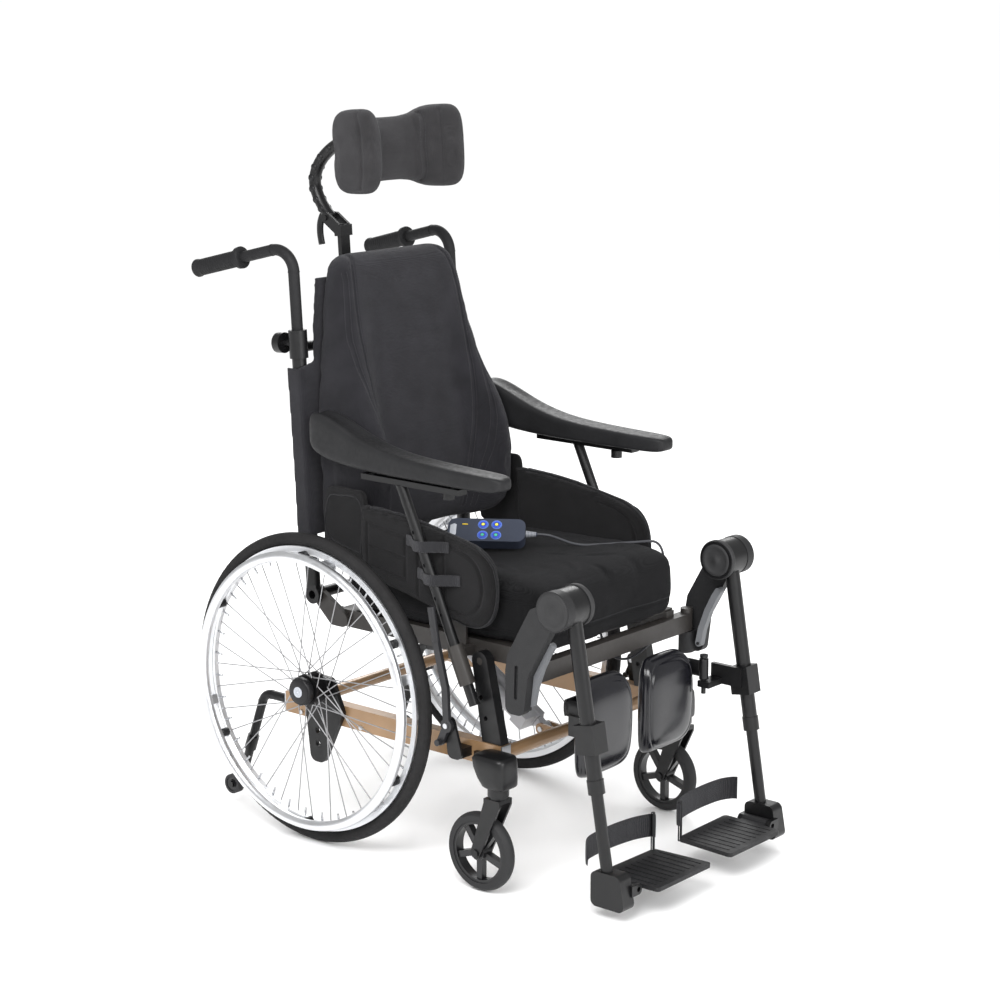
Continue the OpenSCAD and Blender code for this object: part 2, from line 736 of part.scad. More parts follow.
// Points of a smooth curve through the route, with extra rings between its points
function smooth(p, steps) = [
  for (i = [0 : len(p) - 2], s = [0 : steps - 1])
    let (t = s / steps, a = p[max(i - 1, 0)], b = p[i], c = p[i + 1], d = p[min(i + 2, len(p) - 1)])
    0.5 * (2 * b + (c - a) * t + (2 * a - 5 * b + 4 * c - d) * t * t + (3 * b - a - 3 * c + d) * t * t * t),
  p[len(p) - 1]];
module handset_cable() {
  p = smooth(cord_route, 2);
  n = len(p);
  k = cord_sides;
  color("#55585e") chair() polyhedron(
    points = [for (i = [0 : n - 1]) each ring(p, i, cord_d, k)],
    faces = concat(
      [[for (j = [0 : k - 1]) j]],
      [for (i = [0 : n - 2], j = [0 : k - 1])
        [i * k + j, (i + 1) * k + j, (i + 1) * k + (j + 1) % k, i * k + (j + 1) % k]],
      [[for (j = [k - 1 : -1 : 0]) (n - 1) * k + j]]));
}

// ---------- armrests ----------
module armrest_post(right) {
  color("#232427") on_side(right) {
    difference() {
      on_sleeve() translate([0, 0, -post_below]) cylinder(d = post_d, h = sleeve_len + post_above + post_below);
      block([post_x - 40, -500, armpad_z - 12], [post_x + 40, 300, armpad_z + 120]);
      for (i = [0 : 5]) on_sleeve() translate([0, 0, sleeve_len + 60 + i * 32]) rotate([0, 90, 0])
        translate([0, 0, post_d / 2 - 3]) cylinder(d = 7, h = 10);
    }
    block([post_x - 16, -360, armpad_z - 12], [post_x + 8, -120, armpad_z - 1.5]);
    for (y = [-340, -140]) translate([post_x - 4, y, armpad_z - 1.5]) cylinder(d = 14, h = 1.5);
    translate([armpad_x + 6, -320, armpad_z - 26]) cylinder(d = 22, h = 14);
  }
}
module armrest_pad(right) {
  x0 = armpad_x - armpad_w / 2;
  x1 = armpad_x + armpad_w / 2;
  y0 = armpad_rear_y - armpad_l;
  color("#4a4b4e") on_side(right) intersection() {
    side_plate(x0, x1) {
      round_poly([[y0 + 10, armpad_z + 20], [y0 + 30, armpad_z + 10], [armpad_rear_y - 60, armpad_z + 10],
                  [armpad_rear_y - 10, armpad_z + 22], [armpad_rear_y - 12, armpad_z + 90],
                  [armpad_rear_y - 60, armpad_z + 60], [armpad_rear_y - 150, armpad_z + 32],
                  [y0 + 60, armpad_z + 26]], 10);
    }
    linear_extrude(armpad_z + 200)
      round_poly([[x0 + 20, y0 + 20], [x1 - 20, y0 + 20], [x1 - 14, armpad_rear_y - 14], [x0 + 14, armpad_rear_y - 14]], 14);
  }
}

// ---------- back ----------
module back_frame() {
  lever_t = 6;
  wall = 2.5;
  shell = back_tube_d + 8;
  color("#1d1e21") on_back() {
    difference() {
      union() {
        for (s = [-1, 1]) translate([s * back_x, 0, 0]) {
          translate([0, 0, 20]) cylinder(d = back_tube_d, h = back_tube_l - 20);
          translate([0, 0, back_tube_l - collar_h]) cylinder(d = shell, h = collar_h);
          xrod(-6, 6, [0, 0], 36);
          translate([-6, -12, 0]) cube([12, 24, 40]);
          translate([0, back_tube_d / 2, back_tube_l - 26]) rotate([-90, 0, 0]) {
            cylinder(d = 12, h = 24);
            translate([0, 0, 22]) cylinder(d = 40, h = 17);
          }
        }
        xrod(-back_x - 6, back_x + 6, [0, 0], recline_tube_d);
        xrod(-back_x, back_x, [12, back_tube_l - 36], 20);
        translate([-24, 8, back_tube_l - 66]) cube([48, bar_v + 2, 60]);
        xrod(-38, -20, [bar_v - 14, back_tube_l - 44], 26);
        for (s = [-1, 1]) translate([recline_x + s * (ram_eye_t / 2 + gap + lever_t / 2), 0, 0])
          side_plate(-lever_t / 2, lever_t / 2) round_path([[0, 0], to_back(recline_d)], 12);
      }
      for (s = [-1, 1]) translate([s * back_x, 0, 42]) cylinder(d = handle_d + 2 * fit, h = back_tube_l);
      xrod(-back_x - 7, back_x + 7, [0, 0], recline_tube_d - 2 * wall);
      translate([-bar_w / 2 - fit, bar_v - bar_t / 2 - fit, back_tube_l - 120])
        cube([bar_w + 2 * fit, bar_t + 2 * fit, 200]);
      xrod(recline_x - 30, recline_x + 30, to_back(recline_d), pin_bore_d);
    }
    xrod(recline_x - 16, recline_x + 16, to_back(recline_d), pin_d);
  }
}
// Turns a y-z point of the chair into back-rest coordinates v, w
function to_back(p) = let (r = p - recline)
  [r[0] * cos(back_lean) - r[1] * sin(back_lean), r[0] * sin(back_lean) + r[1] * cos(back_lean)];
module back_cover() {
  wrap_x = back_x + back_tube_d / 2 + 0.4;
  color("#26262a") on_back() {
    translate([0, cover_v, 120]) rotate([90, 0, 0]) linear_extrude(cover_v - cushion_back_v)
      polygon([[-wrap_x - 4, 0], [wrap_x + 4, 0], [wrap_x + 4, 325], [204, 335], [200, 400], [186, 492], [-186, 492],
               [-200, 400], [-204, 335], [-wrap_x - 4, 325]]);
    for (s = [-1, 1]) translate([s * (wrap_x + 2), 0, 120]) translate([-2, cover_v, 0]) cube([4, 32, 325]);
  }
}
module back_cushion() {
  r = 14;
  thick = 80;
  wing_out = 42;
  color("#303035") on_back() {
    difference() {
      translate([0, cushion_back_v - 0.3, 0]) rotate([90, 0, 0]) linear_extrude(thick)
        round_poly([[-back_half_w + r, back_cushion_bottom + r], [back_half_w - r, back_cushion_bottom + r],
                    [back_half_w - r, 400], [170, 480], [158, 620], [120, back_cushion_top - r],
                    [-120, back_cushion_top - r], [-158, 620], [-170, 480], [-back_half_w + r, 400]], r);
    }
    for (s = [-1, 1]) translate([s * 178, cushion_back_v - 0.3 - thick, 0]) rotate([90, 0, 0])
      linear_extrude(wing_out)
        round_poly([[-22, 160], [22, 160], [22, 380], [-8, 450], [-22, 450]], 10);
  }
}
module push_handle(right) {
  corner = [back_x + 1, handle_corner[0], handle_corner[1]];
  end = [corner[0] + grip_side, grip_end[0], grip_end[1]];
  guard = corner + 0.52 * (end - corner);
  color("#1f2023") on_back() mirror([right ? 1 : 0, 0, 0]) {
    bent_rod([[back_x, 0, handle_in_w], [back_x, 0, handle_corner[1]], end], handle_d, 42);
    rod(guard, guard + unit(end - corner) * 8, handle_d + 20);
    rod(guard, end, 2 * grip_r);
  }
}

// ---------- headrest ----------
module headrest_bar() {
  ear_t = 6;
  color("#17181a") on_back() {
    translate([-bar_w / 2, bar_v - bar_t / 2, 320]) cube([bar_w, bar_t, 380]);
    for (s = [-1, 1]) translate([s * (10 + ear_t / 2 + gap), 0, 0]) difference() {
      translate([-ear_t / 2, 0, 0]) rotate([90, 0, 90]) linear_extrude(ear_t)
        round_path([[bar_v + 2, 690], head_joint], 11);
      translate([-ear_t, head_joint[0], head_joint[1]]) rotate([0, 90, 0]) cylinder(d = pin_bore_d, h = 2 * ear_t);
    }
    translate([-bar_w / 2 - 4, bar_v - 9, 676]) cube([bar_w + 8, 18, 22]);
    translate([-20, head_joint[0], head_joint[1]]) rotate([0, 90, 0]) cylinder(d = pin_d, h = 40);
  }
}
module headrest_arm() {
  color("#1b1c1f") on_back() difference() {
    side_plate(-10, 10)
      round_path([head_joint, [140, 742], [149, 776], [136, 816], [100, 848], pad_joint], 11);
    for (p = [head_joint, pad_joint]) translate([-11, p[0], p[1]]) rotate([0, 90, 0]) cylinder(d = pin_bore_d, h = 22);
    for (p = [[143, 752], [150, 776], [143, 802]]) translate([-11, p[0], p[1]]) rotate([0, 90, 0]) cylinder(d = 8, h = 22);
  }
}
module headrest_pad() {
  half = headrest_w / 2;
  color("#45464b") on_back() {
    translate([0, 0, 768]) linear_extrude(150)
      round_poly([[-66, -60], [66, -60], [half - 14, -126], [half - 14, -104], [74, -35], [-74, -35],
                  [14 - half, -104], [14 - half, -126]], 12);
    for (s = [-1, 1]) translate([s * (10 + 3 + gap), 0, 0]) difference() {
      translate([-3, 0, 0]) rotate([90, 0, 90]) linear_extrude(6) {
        round_poly([[-12, 850], [-12, 878], pad_joint], 10);
        polygon([[-22, 842], [-14, 842], [-14, 886], [-22, 886]]);
      }
    }
    translate([-20, pad_joint[0], pad_joint[1]]) rotate([0, 90, 0]) cylinder(d = pin_d, h = 40);
    translate([-30, pad_back_v, 836]) cube([60, 4, 56]);
  }
}

// ---------- rams ----------
// Motor half of a linear ram along +X: eye at the origin, guide tube, gearbox and motor can
module ram_motor(tube_l, tube_d, rod_d, can_side) {
  eye_r = 12;
  difference() {
    union() {
      rotate([90, 0, 0]) translate([0, 0, -ram_eye_t / 2]) cylinder(r = eye_r, h = ram_eye_t);
      translate([0, -ram_eye_t / 2, -8]) cube([24, ram_eye_t, 16]);
      translate([20, 0, 0]) rotate([0, 90, 0]) cylinder(d = tube_d, h = tube_l - 20);
      translate([22, can_side > 0 ? -14 : -44, -14]) cube([30, 58, 28]);
      translate([50, can_side * 30, 0]) rotate([0, 90, 0]) cylinder(d = 28, h = 92);
    }
    rotate([90, 0, 0]) translate([0, 0, -ram_eye_t]) cylinder(d = pin_bore_d, h = 2 * ram_eye_t);
    translate([34, 0, 0]) rotate([0, 90, 0]) cylinder(d = rod_d + 2 * fit, h = tube_l);
  }
}
// Rod half of the ram: its eye is loose on the far pin
module ram_rod(from, to, rod_d) {
  neck_l = 30;
  neck_d = 14;
  difference() {
    union() {
      translate([from, 0, 0]) rotate([0, 90, 0]) cylinder(d = rod_d, h = to - from - neck_l);
      translate([from, 0, 0]) rotate([0, 90, 0]) cylinder(d = neck_d, h = to - from - 8);
      rotate([90, 0, 0]) translate([to, 0, -ram_eye_t / 2]) cylinder(r = 13, h = ram_eye_t);
    }
    rotate([90, 0, 0]) translate([to, 0, -ram_eye_t]) cylinder(d = pin_d + 2 * open_gap, h = 2 * ram_eye_t);
  }
}
// Places a ram whose axis runs from one y-z point to another, at a given x
module ram_place(x, from, to) {
  chair() translate([x, from[0], from[1]])
    rotate([atan2(to[1] - from[1], to[0] - from[0]), 0, 0]) rotate([0, 0, 90]) children();
}
module tilt_motor() {
  color("#4b4d52") ram_place(tilt_x, tilt_a, tilt_b) ram_motor(215, 30, 20, 1);
}
module tilt_rod() {
  color("#c9cbd0") ram_place(tilt_x, tilt_a, tilt_b) ram_rod(96, norm(tilt_b - tilt_a), 20);
}
module recline_motor() {
  color("#4b4d52") ram_place(recline_x, recline_c, recline_d) ram_motor(262, 28, 18, -1);
}
module recline_rod() {
  color("#c9cbd0") ram_place(recline_x, recline_c, recline_d) ram_rod(90, norm(recline_d - recline_c), 18);
}

// ---------- legrests ----------
module legrest_hanger(right) {
  x1 = hanger_x + hanger_t;
  color("#4c4d50") on_side(right) {
    difference() {
      union() {
        translate([leg_post[0], leg_post[1], knuckle_z[0]]) cylinder(d = knuckle_d, h = knuckle_z[1] - knuckle_z[0]);
        block([leg_post[0], leg_post[1] - 14, knuckle_z[0]], [hanger_x + 2, leg_post[1] + 14, knuckle_z[1]]);
        side_plate(hanger_x, x1)
          round_poly([[-496, 366], [-510, 366], [-518, 430], [-566, 516], knee, [-548, 541], [-500, 455], [-496, 430]], 15);
        xrod(hanger_x, x1 + 2, knee, 2 * knee_r + 2);
      }
      translate([leg_post[0], leg_post[1], knuckle_z[0] - 1]) cylinder(d = leg_post_d + 2 * fit, h = knuckle_z[1] - knuckle_z[0] + 2);
      side_plate(x1 - 5, x1 + 1) round_path([[-505, 384], [-507, 440]], 4);
    }
    xrod(drum_x[0] + 2, x1, knee, pivot_d);
    xrod(250, hanger_x + 2, lever_pin, 6);
  }
}
module release_lever(right) {
  color("#9fa2a6") on_side(right) difference() {
    side_plate(252, hanger_x - gap)
      round_path([lever_pin, [-529, 402], [-543, 440], [-558, 470], [-567, 484]], 6.5);
    xrod(251, hanger_x, lever_pin, 6 + 2 * fit);
  }
}
module legrest_tube(right) {
  clamp_drop = [208, 262];
  color("#5d5e62") on_side(right) {
    difference() {
      union() {
        xrod(drum_x[0], drum_x[1], knee, 2 * knee_r);
        on_leg() translate([0, 0, -leg_tube_l]) cylinder(d = leg_tube_d, h = leg_tube_l - 6);
        on_leg() translate([0, 0, -leg_tube_l]) cylinder(d = leg_tube_d + 3, h = 26);
        on_leg() translate([-22, -21, -clamp_drop[1]]) cube([38, 42, clamp_drop[1] - clamp_drop[0]]);
        block([calf_rod[0] - 9, -606, 314], [224, -580, 326]);
        block([216, -650, 314], [226, -580, 352]);
      }
      xrod(drum_x[0] - 1, drum_x[1] + 1, knee, pivot_bore_d);
      on_leg() translate([0, 0, -leg_tube_l - 1]) cylinder(d = foot_tube_d + 2 * fit, h = leg_tube_l - 48);
    }
    translate([calf_rod[0], calf_rod[1], calf_rod_z[0]]) cylinder(d = 9, h = calf_rod_z[1] - calf_rod_z[0]);
    translate([calf_rod[0], calf_rod[1], calf_rod_z[1]]) cylinder(d = 16, h = 5);
  }
}
module foot_tube(right) {
  back_y = knuckle_y[1];
  front_y = knuckle_y[0];
  color("#d0d2d6") on_side(right) {
    on_leg() translate([0, 0, -foot_tube_end]) cylinder(d = foot_tube_d, h = foot_tube_end - leg_tube_l + foot_inside);
  }
  color("#232427") on_side(right) difference() {
    union() {
      side_plate(plate_hinge[0] + 13, 258) round_poly([[front_y + 2, 34], [back_y - 2, 34], [back_y - 2, 76], [front_y + 10, 76]], 12);
      for (y = [front_y - gap - ear_t, back_y + gap]) {
        translate([plate_hinge[0], y, plate_hinge[1]]) rotate([-90, 0, 0]) cylinder(r = 10, h = ear_t);
        block([plate_hinge[0], y, plate_hinge[1] - 10], [plate_hinge[0] + 20, y + ear_t, plate_hinge[1] + 10]);
      }
    }
    translate([plate_hinge[0], front_y - 30, plate_hinge[1]]) rotate([-90, 0, 0]) cylinder(d = pin_bore_d, h = 120);
    on_leg() translate([0, 0, -foot_tube_end]) cylinder(d = foot_tube_d, h = 200);
  }
}
module calf_pad(right) {
  r = 20;
  x1 = 166;
  x0 = x1 - calf_w;
  color("#17171a") on_side(right) {
    difference() {
      translate([0, calf_y + calf_t, 0]) rotate([90, 0, 0]) linear_extrude(calf_t)
        round_poly([[x0 + r, calf_z[0] + r], [x1 - r, calf_z[0] + r], [x1 - r, calf_z[1] - r - 14],
                    [(x0 + x1) / 2, calf_z[1] - r], [x0 + r, calf_z[1] - r - 14]], r);
    }
    difference() {
      union() {
        translate([calf_rod[0], calf_rod[1], 329]) cylinder(d = 18, h = 40);
        block([x1 - 60, calf_y + calf_t, 330], [calf_rod[0] + 6, calf_y + calf_t + 6, 366]);
        block([calf_rod[0] - 6, calf_rod[1], 330], [calf_rod[0] + 6, calf_y + calf_t + 6, 366]);
      }
      translate([calf_rod[0], calf_rod[1], 320]) cylinder(d = 9 + 2 * fit, h = 60);
    }
  }
}
module footplate(right) {
  x0 = 26;
  x1 = 199;
  plate_z = 52;
  y1 = plate_y + footplate_l;
  post = [43, y1 - 5];
  ribs = 9;
  color("#1c1d1f") on_side(right) {
    difference() {
      union() {
        translate([0, 0, plate_z]) linear_extrude(footplate_t)
          round_poly([[x0 + 12, plate_y + 8], [x1 - 12, plate_y + 8], [x1 - 8, y1 - 8], [x0 + 20, y1 - 12]], 8);
        for (i = [0 : ribs - 1]) block([x0 + 18 + i * 17, plate_y + 14, plate_z + footplate_t - 1],
                                       [x0 + 22 + i * 17, y1 - 22, plate_z + footplate_t + 1]);
        translate([plate_hinge[0], knuckle_y[0], plate_hinge[1]]) rotate([-90, 0, 0]) cylinder(r = 11, h = knuckle_y[1] - knuckle_y[0]);
        block([x1 - 10, knuckle_y[0], plate_z], [plate_hinge[0], knuckle_y[1], plate_z + footplate_t]);
        translate([post[0], post[1], plate_z]) cylinder(d = 8, h = strap_z[1] - plate_z + 4);
      }
      translate([plate_hinge[0], knuckle_y[0] - 1, plate_hinge[1]]) rotate([-90, 0, 0]) cylinder(d = pin_bore_d, h = 60);
    }
  }
  color("#26262a") on_side(right) difference() {
    block([post[0] - 7, strap_y - strap_t / 2, strap_z[0]], [226, strap_y + strap_t / 2, strap_z[1]]);
    translate([post[0], post[1], 0]) cylinder(d = 8, h = 200);
  }
}

side_rails();
cross_tubes();
side_brackets();
seat_supports();
chassis_hardware();
rear_tyre(false);  // tyre_left
rear_tyre(true);  // tyre_right
rear_wheel(false);  // wheel_left
rear_wheel(true);  // wheel_right
handrim(false);  // handrim_left
handrim(true);  // handrim_right
castor_fork(false);  // castor_fork_left
castor_fork(true);  // castor_fork_right
castor_wheel(false);  // castor_wheel_left
castor_wheel(true);  // castor_wheel_right
antitip_arm(false);  // antitip_arm_left
antitip_arm(true);  // antitip_arm_right
antitip_wheel(false);  // antitip_wheel_left
antitip_wheel(true);  // antitip_wheel_right
brake_lever(false);  // brake_lever_left
brake_lever(true);  // brake_lever_right
seat_frame();
seat_cushion();
side_panel(false);  // side_panel_left
side_panel(true);  // side_panel_right
control_box();
handset();
handset_cable();
button(0, 1, "gold");  // button_recline_back
button(1, 1, "gold");  // button_recline_up
button(0, -1, "seagreen");  // button_tilt_back
button(1, -1, "seagreen");  // button_tilt_up
armrest_post(false);  // armrest_post_left
armrest_post(true);  // armrest_post_right
armrest_pad(false);  // armrest_pad_left
armrest_pad(true);  // armrest_pad_right
back_frame();
back_cover();
back_cushion();
push_handle(false);  // push_handle_left
push_handle(true);  // push_handle_right
headrest_bar();
headrest_arm();
headrest_pad();
tilt_motor();
tilt_rod();
recline_motor();
recline_rod();
legrest_hanger(false);  // legrest_hanger_left
legrest_hanger(true);  // legrest_hanger_right
release_lever(false);  // release_lever_left
release_lever(true);  // release_lever_right
legrest_tube(false);  // legrest_tube_left
legrest_tube(true);  // legrest_tube_right
foot_tube(false);  // foot_tube_left
foot_tube(true);  // foot_tube_right
calf_pad(false);  // calf_pad_left
calf_pad(true);  // calf_pad_right
footplate(false);  // footplate_left
footplate(true);  // footplate_right
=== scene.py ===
import math
import bmesh
import bpy
import numpy as np
from mathutils import Matrix, Vector
from mathutils.bvhtree import BVHTree
from mathutils.geometry import interpolate_bezier


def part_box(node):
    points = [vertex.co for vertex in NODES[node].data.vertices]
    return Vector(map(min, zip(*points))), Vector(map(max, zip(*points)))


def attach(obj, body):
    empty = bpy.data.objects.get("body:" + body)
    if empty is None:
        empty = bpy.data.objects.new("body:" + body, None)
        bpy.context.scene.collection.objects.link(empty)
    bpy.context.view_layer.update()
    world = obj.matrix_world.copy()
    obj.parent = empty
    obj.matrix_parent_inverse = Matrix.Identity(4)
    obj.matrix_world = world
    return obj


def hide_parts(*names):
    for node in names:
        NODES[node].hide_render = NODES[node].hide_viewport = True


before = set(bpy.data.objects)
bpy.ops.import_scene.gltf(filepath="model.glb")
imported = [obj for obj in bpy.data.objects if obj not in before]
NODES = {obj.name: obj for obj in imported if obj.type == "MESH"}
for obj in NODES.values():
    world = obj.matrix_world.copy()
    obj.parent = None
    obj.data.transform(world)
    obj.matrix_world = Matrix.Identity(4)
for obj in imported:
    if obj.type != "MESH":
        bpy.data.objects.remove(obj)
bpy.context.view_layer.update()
SIDES = (("left", 1), ("right", -1))
AXLE_Y = (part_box("tyre_left")[0].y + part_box("tyre_left")[1].y) / 2
LEAN = math.radians(3.62)


def P(x, y, z):
    """Millimetres from the rear axle line to metres in the row frame."""
    return Vector((x / 1000, y / 1000 + AXLE_Y, z / 1000))


def on_back(x, v, w):
    """Back-rest coordinates to the row frame."""
    return P(x, 52 + v * math.cos(LEAN) + w * math.sin(LEAN), 470 - v * math.sin(LEAN) + w * math.cos(LEAN))


# ---------- camera ----------
EYE = P(-3508.4, -3174.3, 1669.0)
AIM = P(0, -230.7, 659.4)
camera = bpy.data.objects.new("camera", bpy.data.cameras.new("camera"))
camera.data.lens = 87.8
camera.data.clip_end = 400
camera.location = EYE
camera.rotation_euler = (AIM - EYE).to_track_quat("-Z", "Y").to_euler()
bpy.context.scene.collection.objects.link(camera)
bpy.context.scene.camera = camera


# ---------- materials ----------
class Shader:
    """Small helper that adds nodes to one material."""

    def __init__(self, name, color, rough, metal=0.0, **extra):
        self.mat = bpy.data.materials.new(name)
        self.mat.use_nodes = True
        self.nodes = self.mat.node_tree.nodes
        self.links = self.mat.node_tree.links
        self.bsdf = self.nodes["Principled BSDF"]
        self.set("Base Color", (*color, 1))
        self.set("Roughness", rough)
        self.set("Metallic", metal)
        for key, value in extra.items():
            self.set(key.replace("_", " "), value)
        self.coord = self.node("ShaderNodeTexCoord").outputs["Object"]
        self.height = None

    def set(self, socket, value):
        self.bsdf.inputs[socket].default_value = value

    def node(self, kind, **values):
        n = self.nodes.new(kind)
        for key, value in values.items():
            setattr(n, key, value)
        return n

    def noise(self, scale, detail=3.0, rough=0.55, stretch=(1, 1, 1)):
        m = self.node("ShaderNodeMapping")
        m.inputs["Scale"].default_value = stretch
        self.links.new(self.coord, m.inputs["Vector"])
        n = self.node("ShaderNodeTexNoise")
        n.inputs["Scale"].default_value = scale
        n.inputs["Detail"].default_value = detail
        n.inputs["Roughness"].default_value = rough
        self.links.new(m.outputs["Vector"], n.inputs["Vector"])
        return n.outputs["Fac"]

    def math(self, op, a, b=None):
        m = self.node("ShaderNodeMath", operation=op)
        for i, value in enumerate((a, b)):
            if value is None:
                continue
            if isinstance(value, (int, float)):
                m.inputs[i].default_value = value
            else:
                self.links.new(value, m.inputs[i])
        return m.outputs[0]

    def weave(self, pitch, along=None):
        """Threads crossing on every face of the piece, as a height from -1 to 1."""
        xyz = self.node("ShaderNodeSeparateXYZ")
        self.links.new(self.coord, xyz.inputs[0])
        k = math.tau / pitch
        s = [self.math("SINE", self.math("MULTIPLY", xyz.outputs[i], k)) for i in range(3)]
        a = self.math("MULTIPLY", s[0], s[1])
        b = self.math("MULTIPLY", s[1], s[2])
        c = self.math("MULTIPLY", s[0], s[2])
        return self.math("ADD", self.math("ADD", a, b), c)

    def voronoi(self, scale):
        n = self.node("ShaderNodeTexVoronoi")
        n.inputs["Scale"].default_value = scale
        self.links.new(self.coord, n.inputs["Vector"])
        return n.outputs["Distance"]

    def vary(self, fac, low, high, socket="Base Color", span=(0.3, 0.7)):
        """Lets a texture move a socket between two colours or numbers."""
        r = self.node("ShaderNodeMapRange")
        r.inputs["From Min"].default_value = span[0]
        r.inputs["From Max"].default_value = span[1]
        self.links.new(fac, r.inputs["Value"])
        if socket == "Base Color":
            m = self.node("ShaderNodeMix", data_type="RGBA")
            m.inputs[6].default_value = (*low, 1)
            m.inputs[7].default_value = (*high, 1)
            self.links.new(r.outputs[0], m.inputs[0])
            self.links.new(m.outputs[2], self.bsdf.inputs[socket])
            return m
        r.inputs["To Min"].default_value = low
        r.inputs["To Max"].default_value = high
        self.links.new(r.outputs[0], self.bsdf.inputs[socket])
        return r

    def bump(self, fac, depth, strength=1.0):
        b = self.node("ShaderNodeBump")
        b.inputs["Distance"].default_value = depth
        b.inputs["Strength"].default_value = strength
        self.links.new(fac, b.inputs["Height"])
        if self.height is not None:
            self.links.new(self.height, b.inputs["Normal"])
        self.height = b.outputs["Normal"]
        self.links.new(self.height, self.bsdf.inputs["Normal"])
        return self


def shade(color, k):
    return tuple(min(1.0, c * k) for c in color)


def lacquer(name, color, rough=0.35, coat=0.5, metal=0.0):
    s = Shader(name, color, rough, metal, Coat_Weight=coat, Coat_Roughness=0.18, Specular_IOR_Level=0.35)
    s.vary(s.noise(9, 4), shade(color, 0.90), shade(color, 1.08))
    s.vary(s.noise(60, 4), rough - 0.06, rough + 0.08, "Roughness")
    return s.bump(s.noise(900, 2), 0.00012, 0.35).mat


def metal(name, color, rough, stretch=(1, 1, 1), depth=0.00005):
    s = Shader(name, color, rough, 1.0)
    s.vary(s.noise(14, 4), shade(color, 0.93), shade(color, 1.05))
    s.vary(s.noise(70, 5, stretch=stretch), rough - 0.05, rough + 0.12, "Roughness")
    return s.bump(s.noise(420, 3, stretch=stretch), depth, 0.5).mat


def plastic(name, color, rough=0.45, grain=0.00016, scale=900, coat=0.0):
    s = Shader(name, color, rough, Coat_Weight=coat, Coat_Roughness=0.12, Specular_IOR_Level=0.3)
    s.vary(s.noise(12, 3), shade(color, 0.90), shade(color, 1.10))
    s.vary(s.noise(45, 4), rough - 0.06, rough + 0.07, "Roughness")
    return s.bump(s.voronoi(scale), grain, 0.6).mat


def rubber(name, color, rough=0.72, grain=0.0003):
    s = Shader(name, color, rough, Specular_IOR_Level=0.22)
    s.vary(s.noise(16, 5), shade(color, 0.82), shade(color, 1.22))
    s.vary(s.noise(120, 4), rough - 0.08, rough + 0.10, "Roughness")
    return s.bump(s.noise(600, 3), grain, 0.5).mat


def cloth_mat(name, color, pitch=0.0017, depth=0.0005, rough=0.85, sheen=0.35, streak=1.25):
    s = Shader(name, color, rough, Sheen_Weight=sheen, Sheen_Roughness=0.45, Specular_IOR_Level=0.15)
    s.bsdf.inputs["Sheen Tint"].default_value = (0.8, 0.8, 0.84, 1)
    s.vary(s.noise(22, 5, 0.6), shade(color, 0.80), shade(color, streak))
    s.bump(s.weave(pitch), depth, 0.75)
    s.bump(s.noise(26, 3), 0.0016, 0.35)
    return s.bump(s.noise(500, 2), depth * 0.5, 0.5).mat


def vinyl(name, color, rough=0.26):
    s = Shader(name, color, rough, Coat_Weight=0.2, Coat_Roughness=0.15, Specular_IOR_Level=0.5)
    s.vary(s.noise(18, 4), shade(color, 0.8), shade(color, 1.4))
    s.vary(s.noise(35, 4), rough - 0.04, rough + 0.05, "Roughness")
    s.bump(s.voronoi(420), 0.00012, 0.4)
    return s.mat


def wheel_rubber(name, hub, tread, centre, radius, soft=0.002):
    """Castor: moulded hub inside, rubber tread outside, told apart by the distance from the axle."""
    s = Shader(name, hub, 0.45)
    xyz = s.node("ShaderNodeSeparateXYZ")
    s.links.new(s.coord, xyz.inputs[0])
    dy = s.math("SUBTRACT", xyz.outputs[1], centre[1])
    dz = s.math("SUBTRACT", xyz.outputs[2], centre[2])
    r = s.math("SQRT", s.math("ADD", s.math("MULTIPLY", dy, dy), s.math("MULTIPLY", dz, dz)))
    s.vary(r, hub, tread, span=(radius - soft, radius + soft))
    s.vary(r, 0.35, 0.7, "Roughness", span=(radius - soft, radius + soft))
    return s.bump(s.noise(500, 3), 0.0003, 0.5).mat


def spoked_wheel(name, centre):
    """Black hub, grey spokes and a bright rim, told apart by the distance from the axle."""
    s = Shader(name, (0.3, 0.3, 0.3), 0.4, 0.8)
    xyz = s.node("ShaderNodeSeparateXYZ")
    s.links.new(s.coord, xyz.inputs[0])
    dy = s.math("SUBTRACT", xyz.outputs[1], centre[1])
    dz = s.math("SUBTRACT", xyz.outputs[2], centre[2])
    r = s.math("SQRT", s.math("ADD", s.math("MULTIPLY", dy, dy), s.math("MULTIPLY", dz, dz)))
    ramp = s.node("ShaderNodeValToRGB")
    s.links.new(s.math("MULTIPLY", r, 3.0), ramp.inputs[0])
    ramp.color_ramp.interpolation = "CONSTANT"
    for i, (at, color) in enumerate(((0.0, (0.02, 0.02, 0.021)), (0.09, (0.36, 0.36, 0.37)), (0.786, (0.80, 0.81, 0.83)))):
        e = ramp.color_ramp.elements[i] if i < 2 else ramp.color_ramp.elements.new(at)
        e.position, e.color = at, (*color, 1)
    s.links.new(ramp.outputs[0], s.bsdf.inputs["Base Color"])
    s.vary(s.noise(70, 5), 0.36, 0.55, "Roughness")
    return s.bump(s.noise(420, 3), 0.00005, 0.5).mat


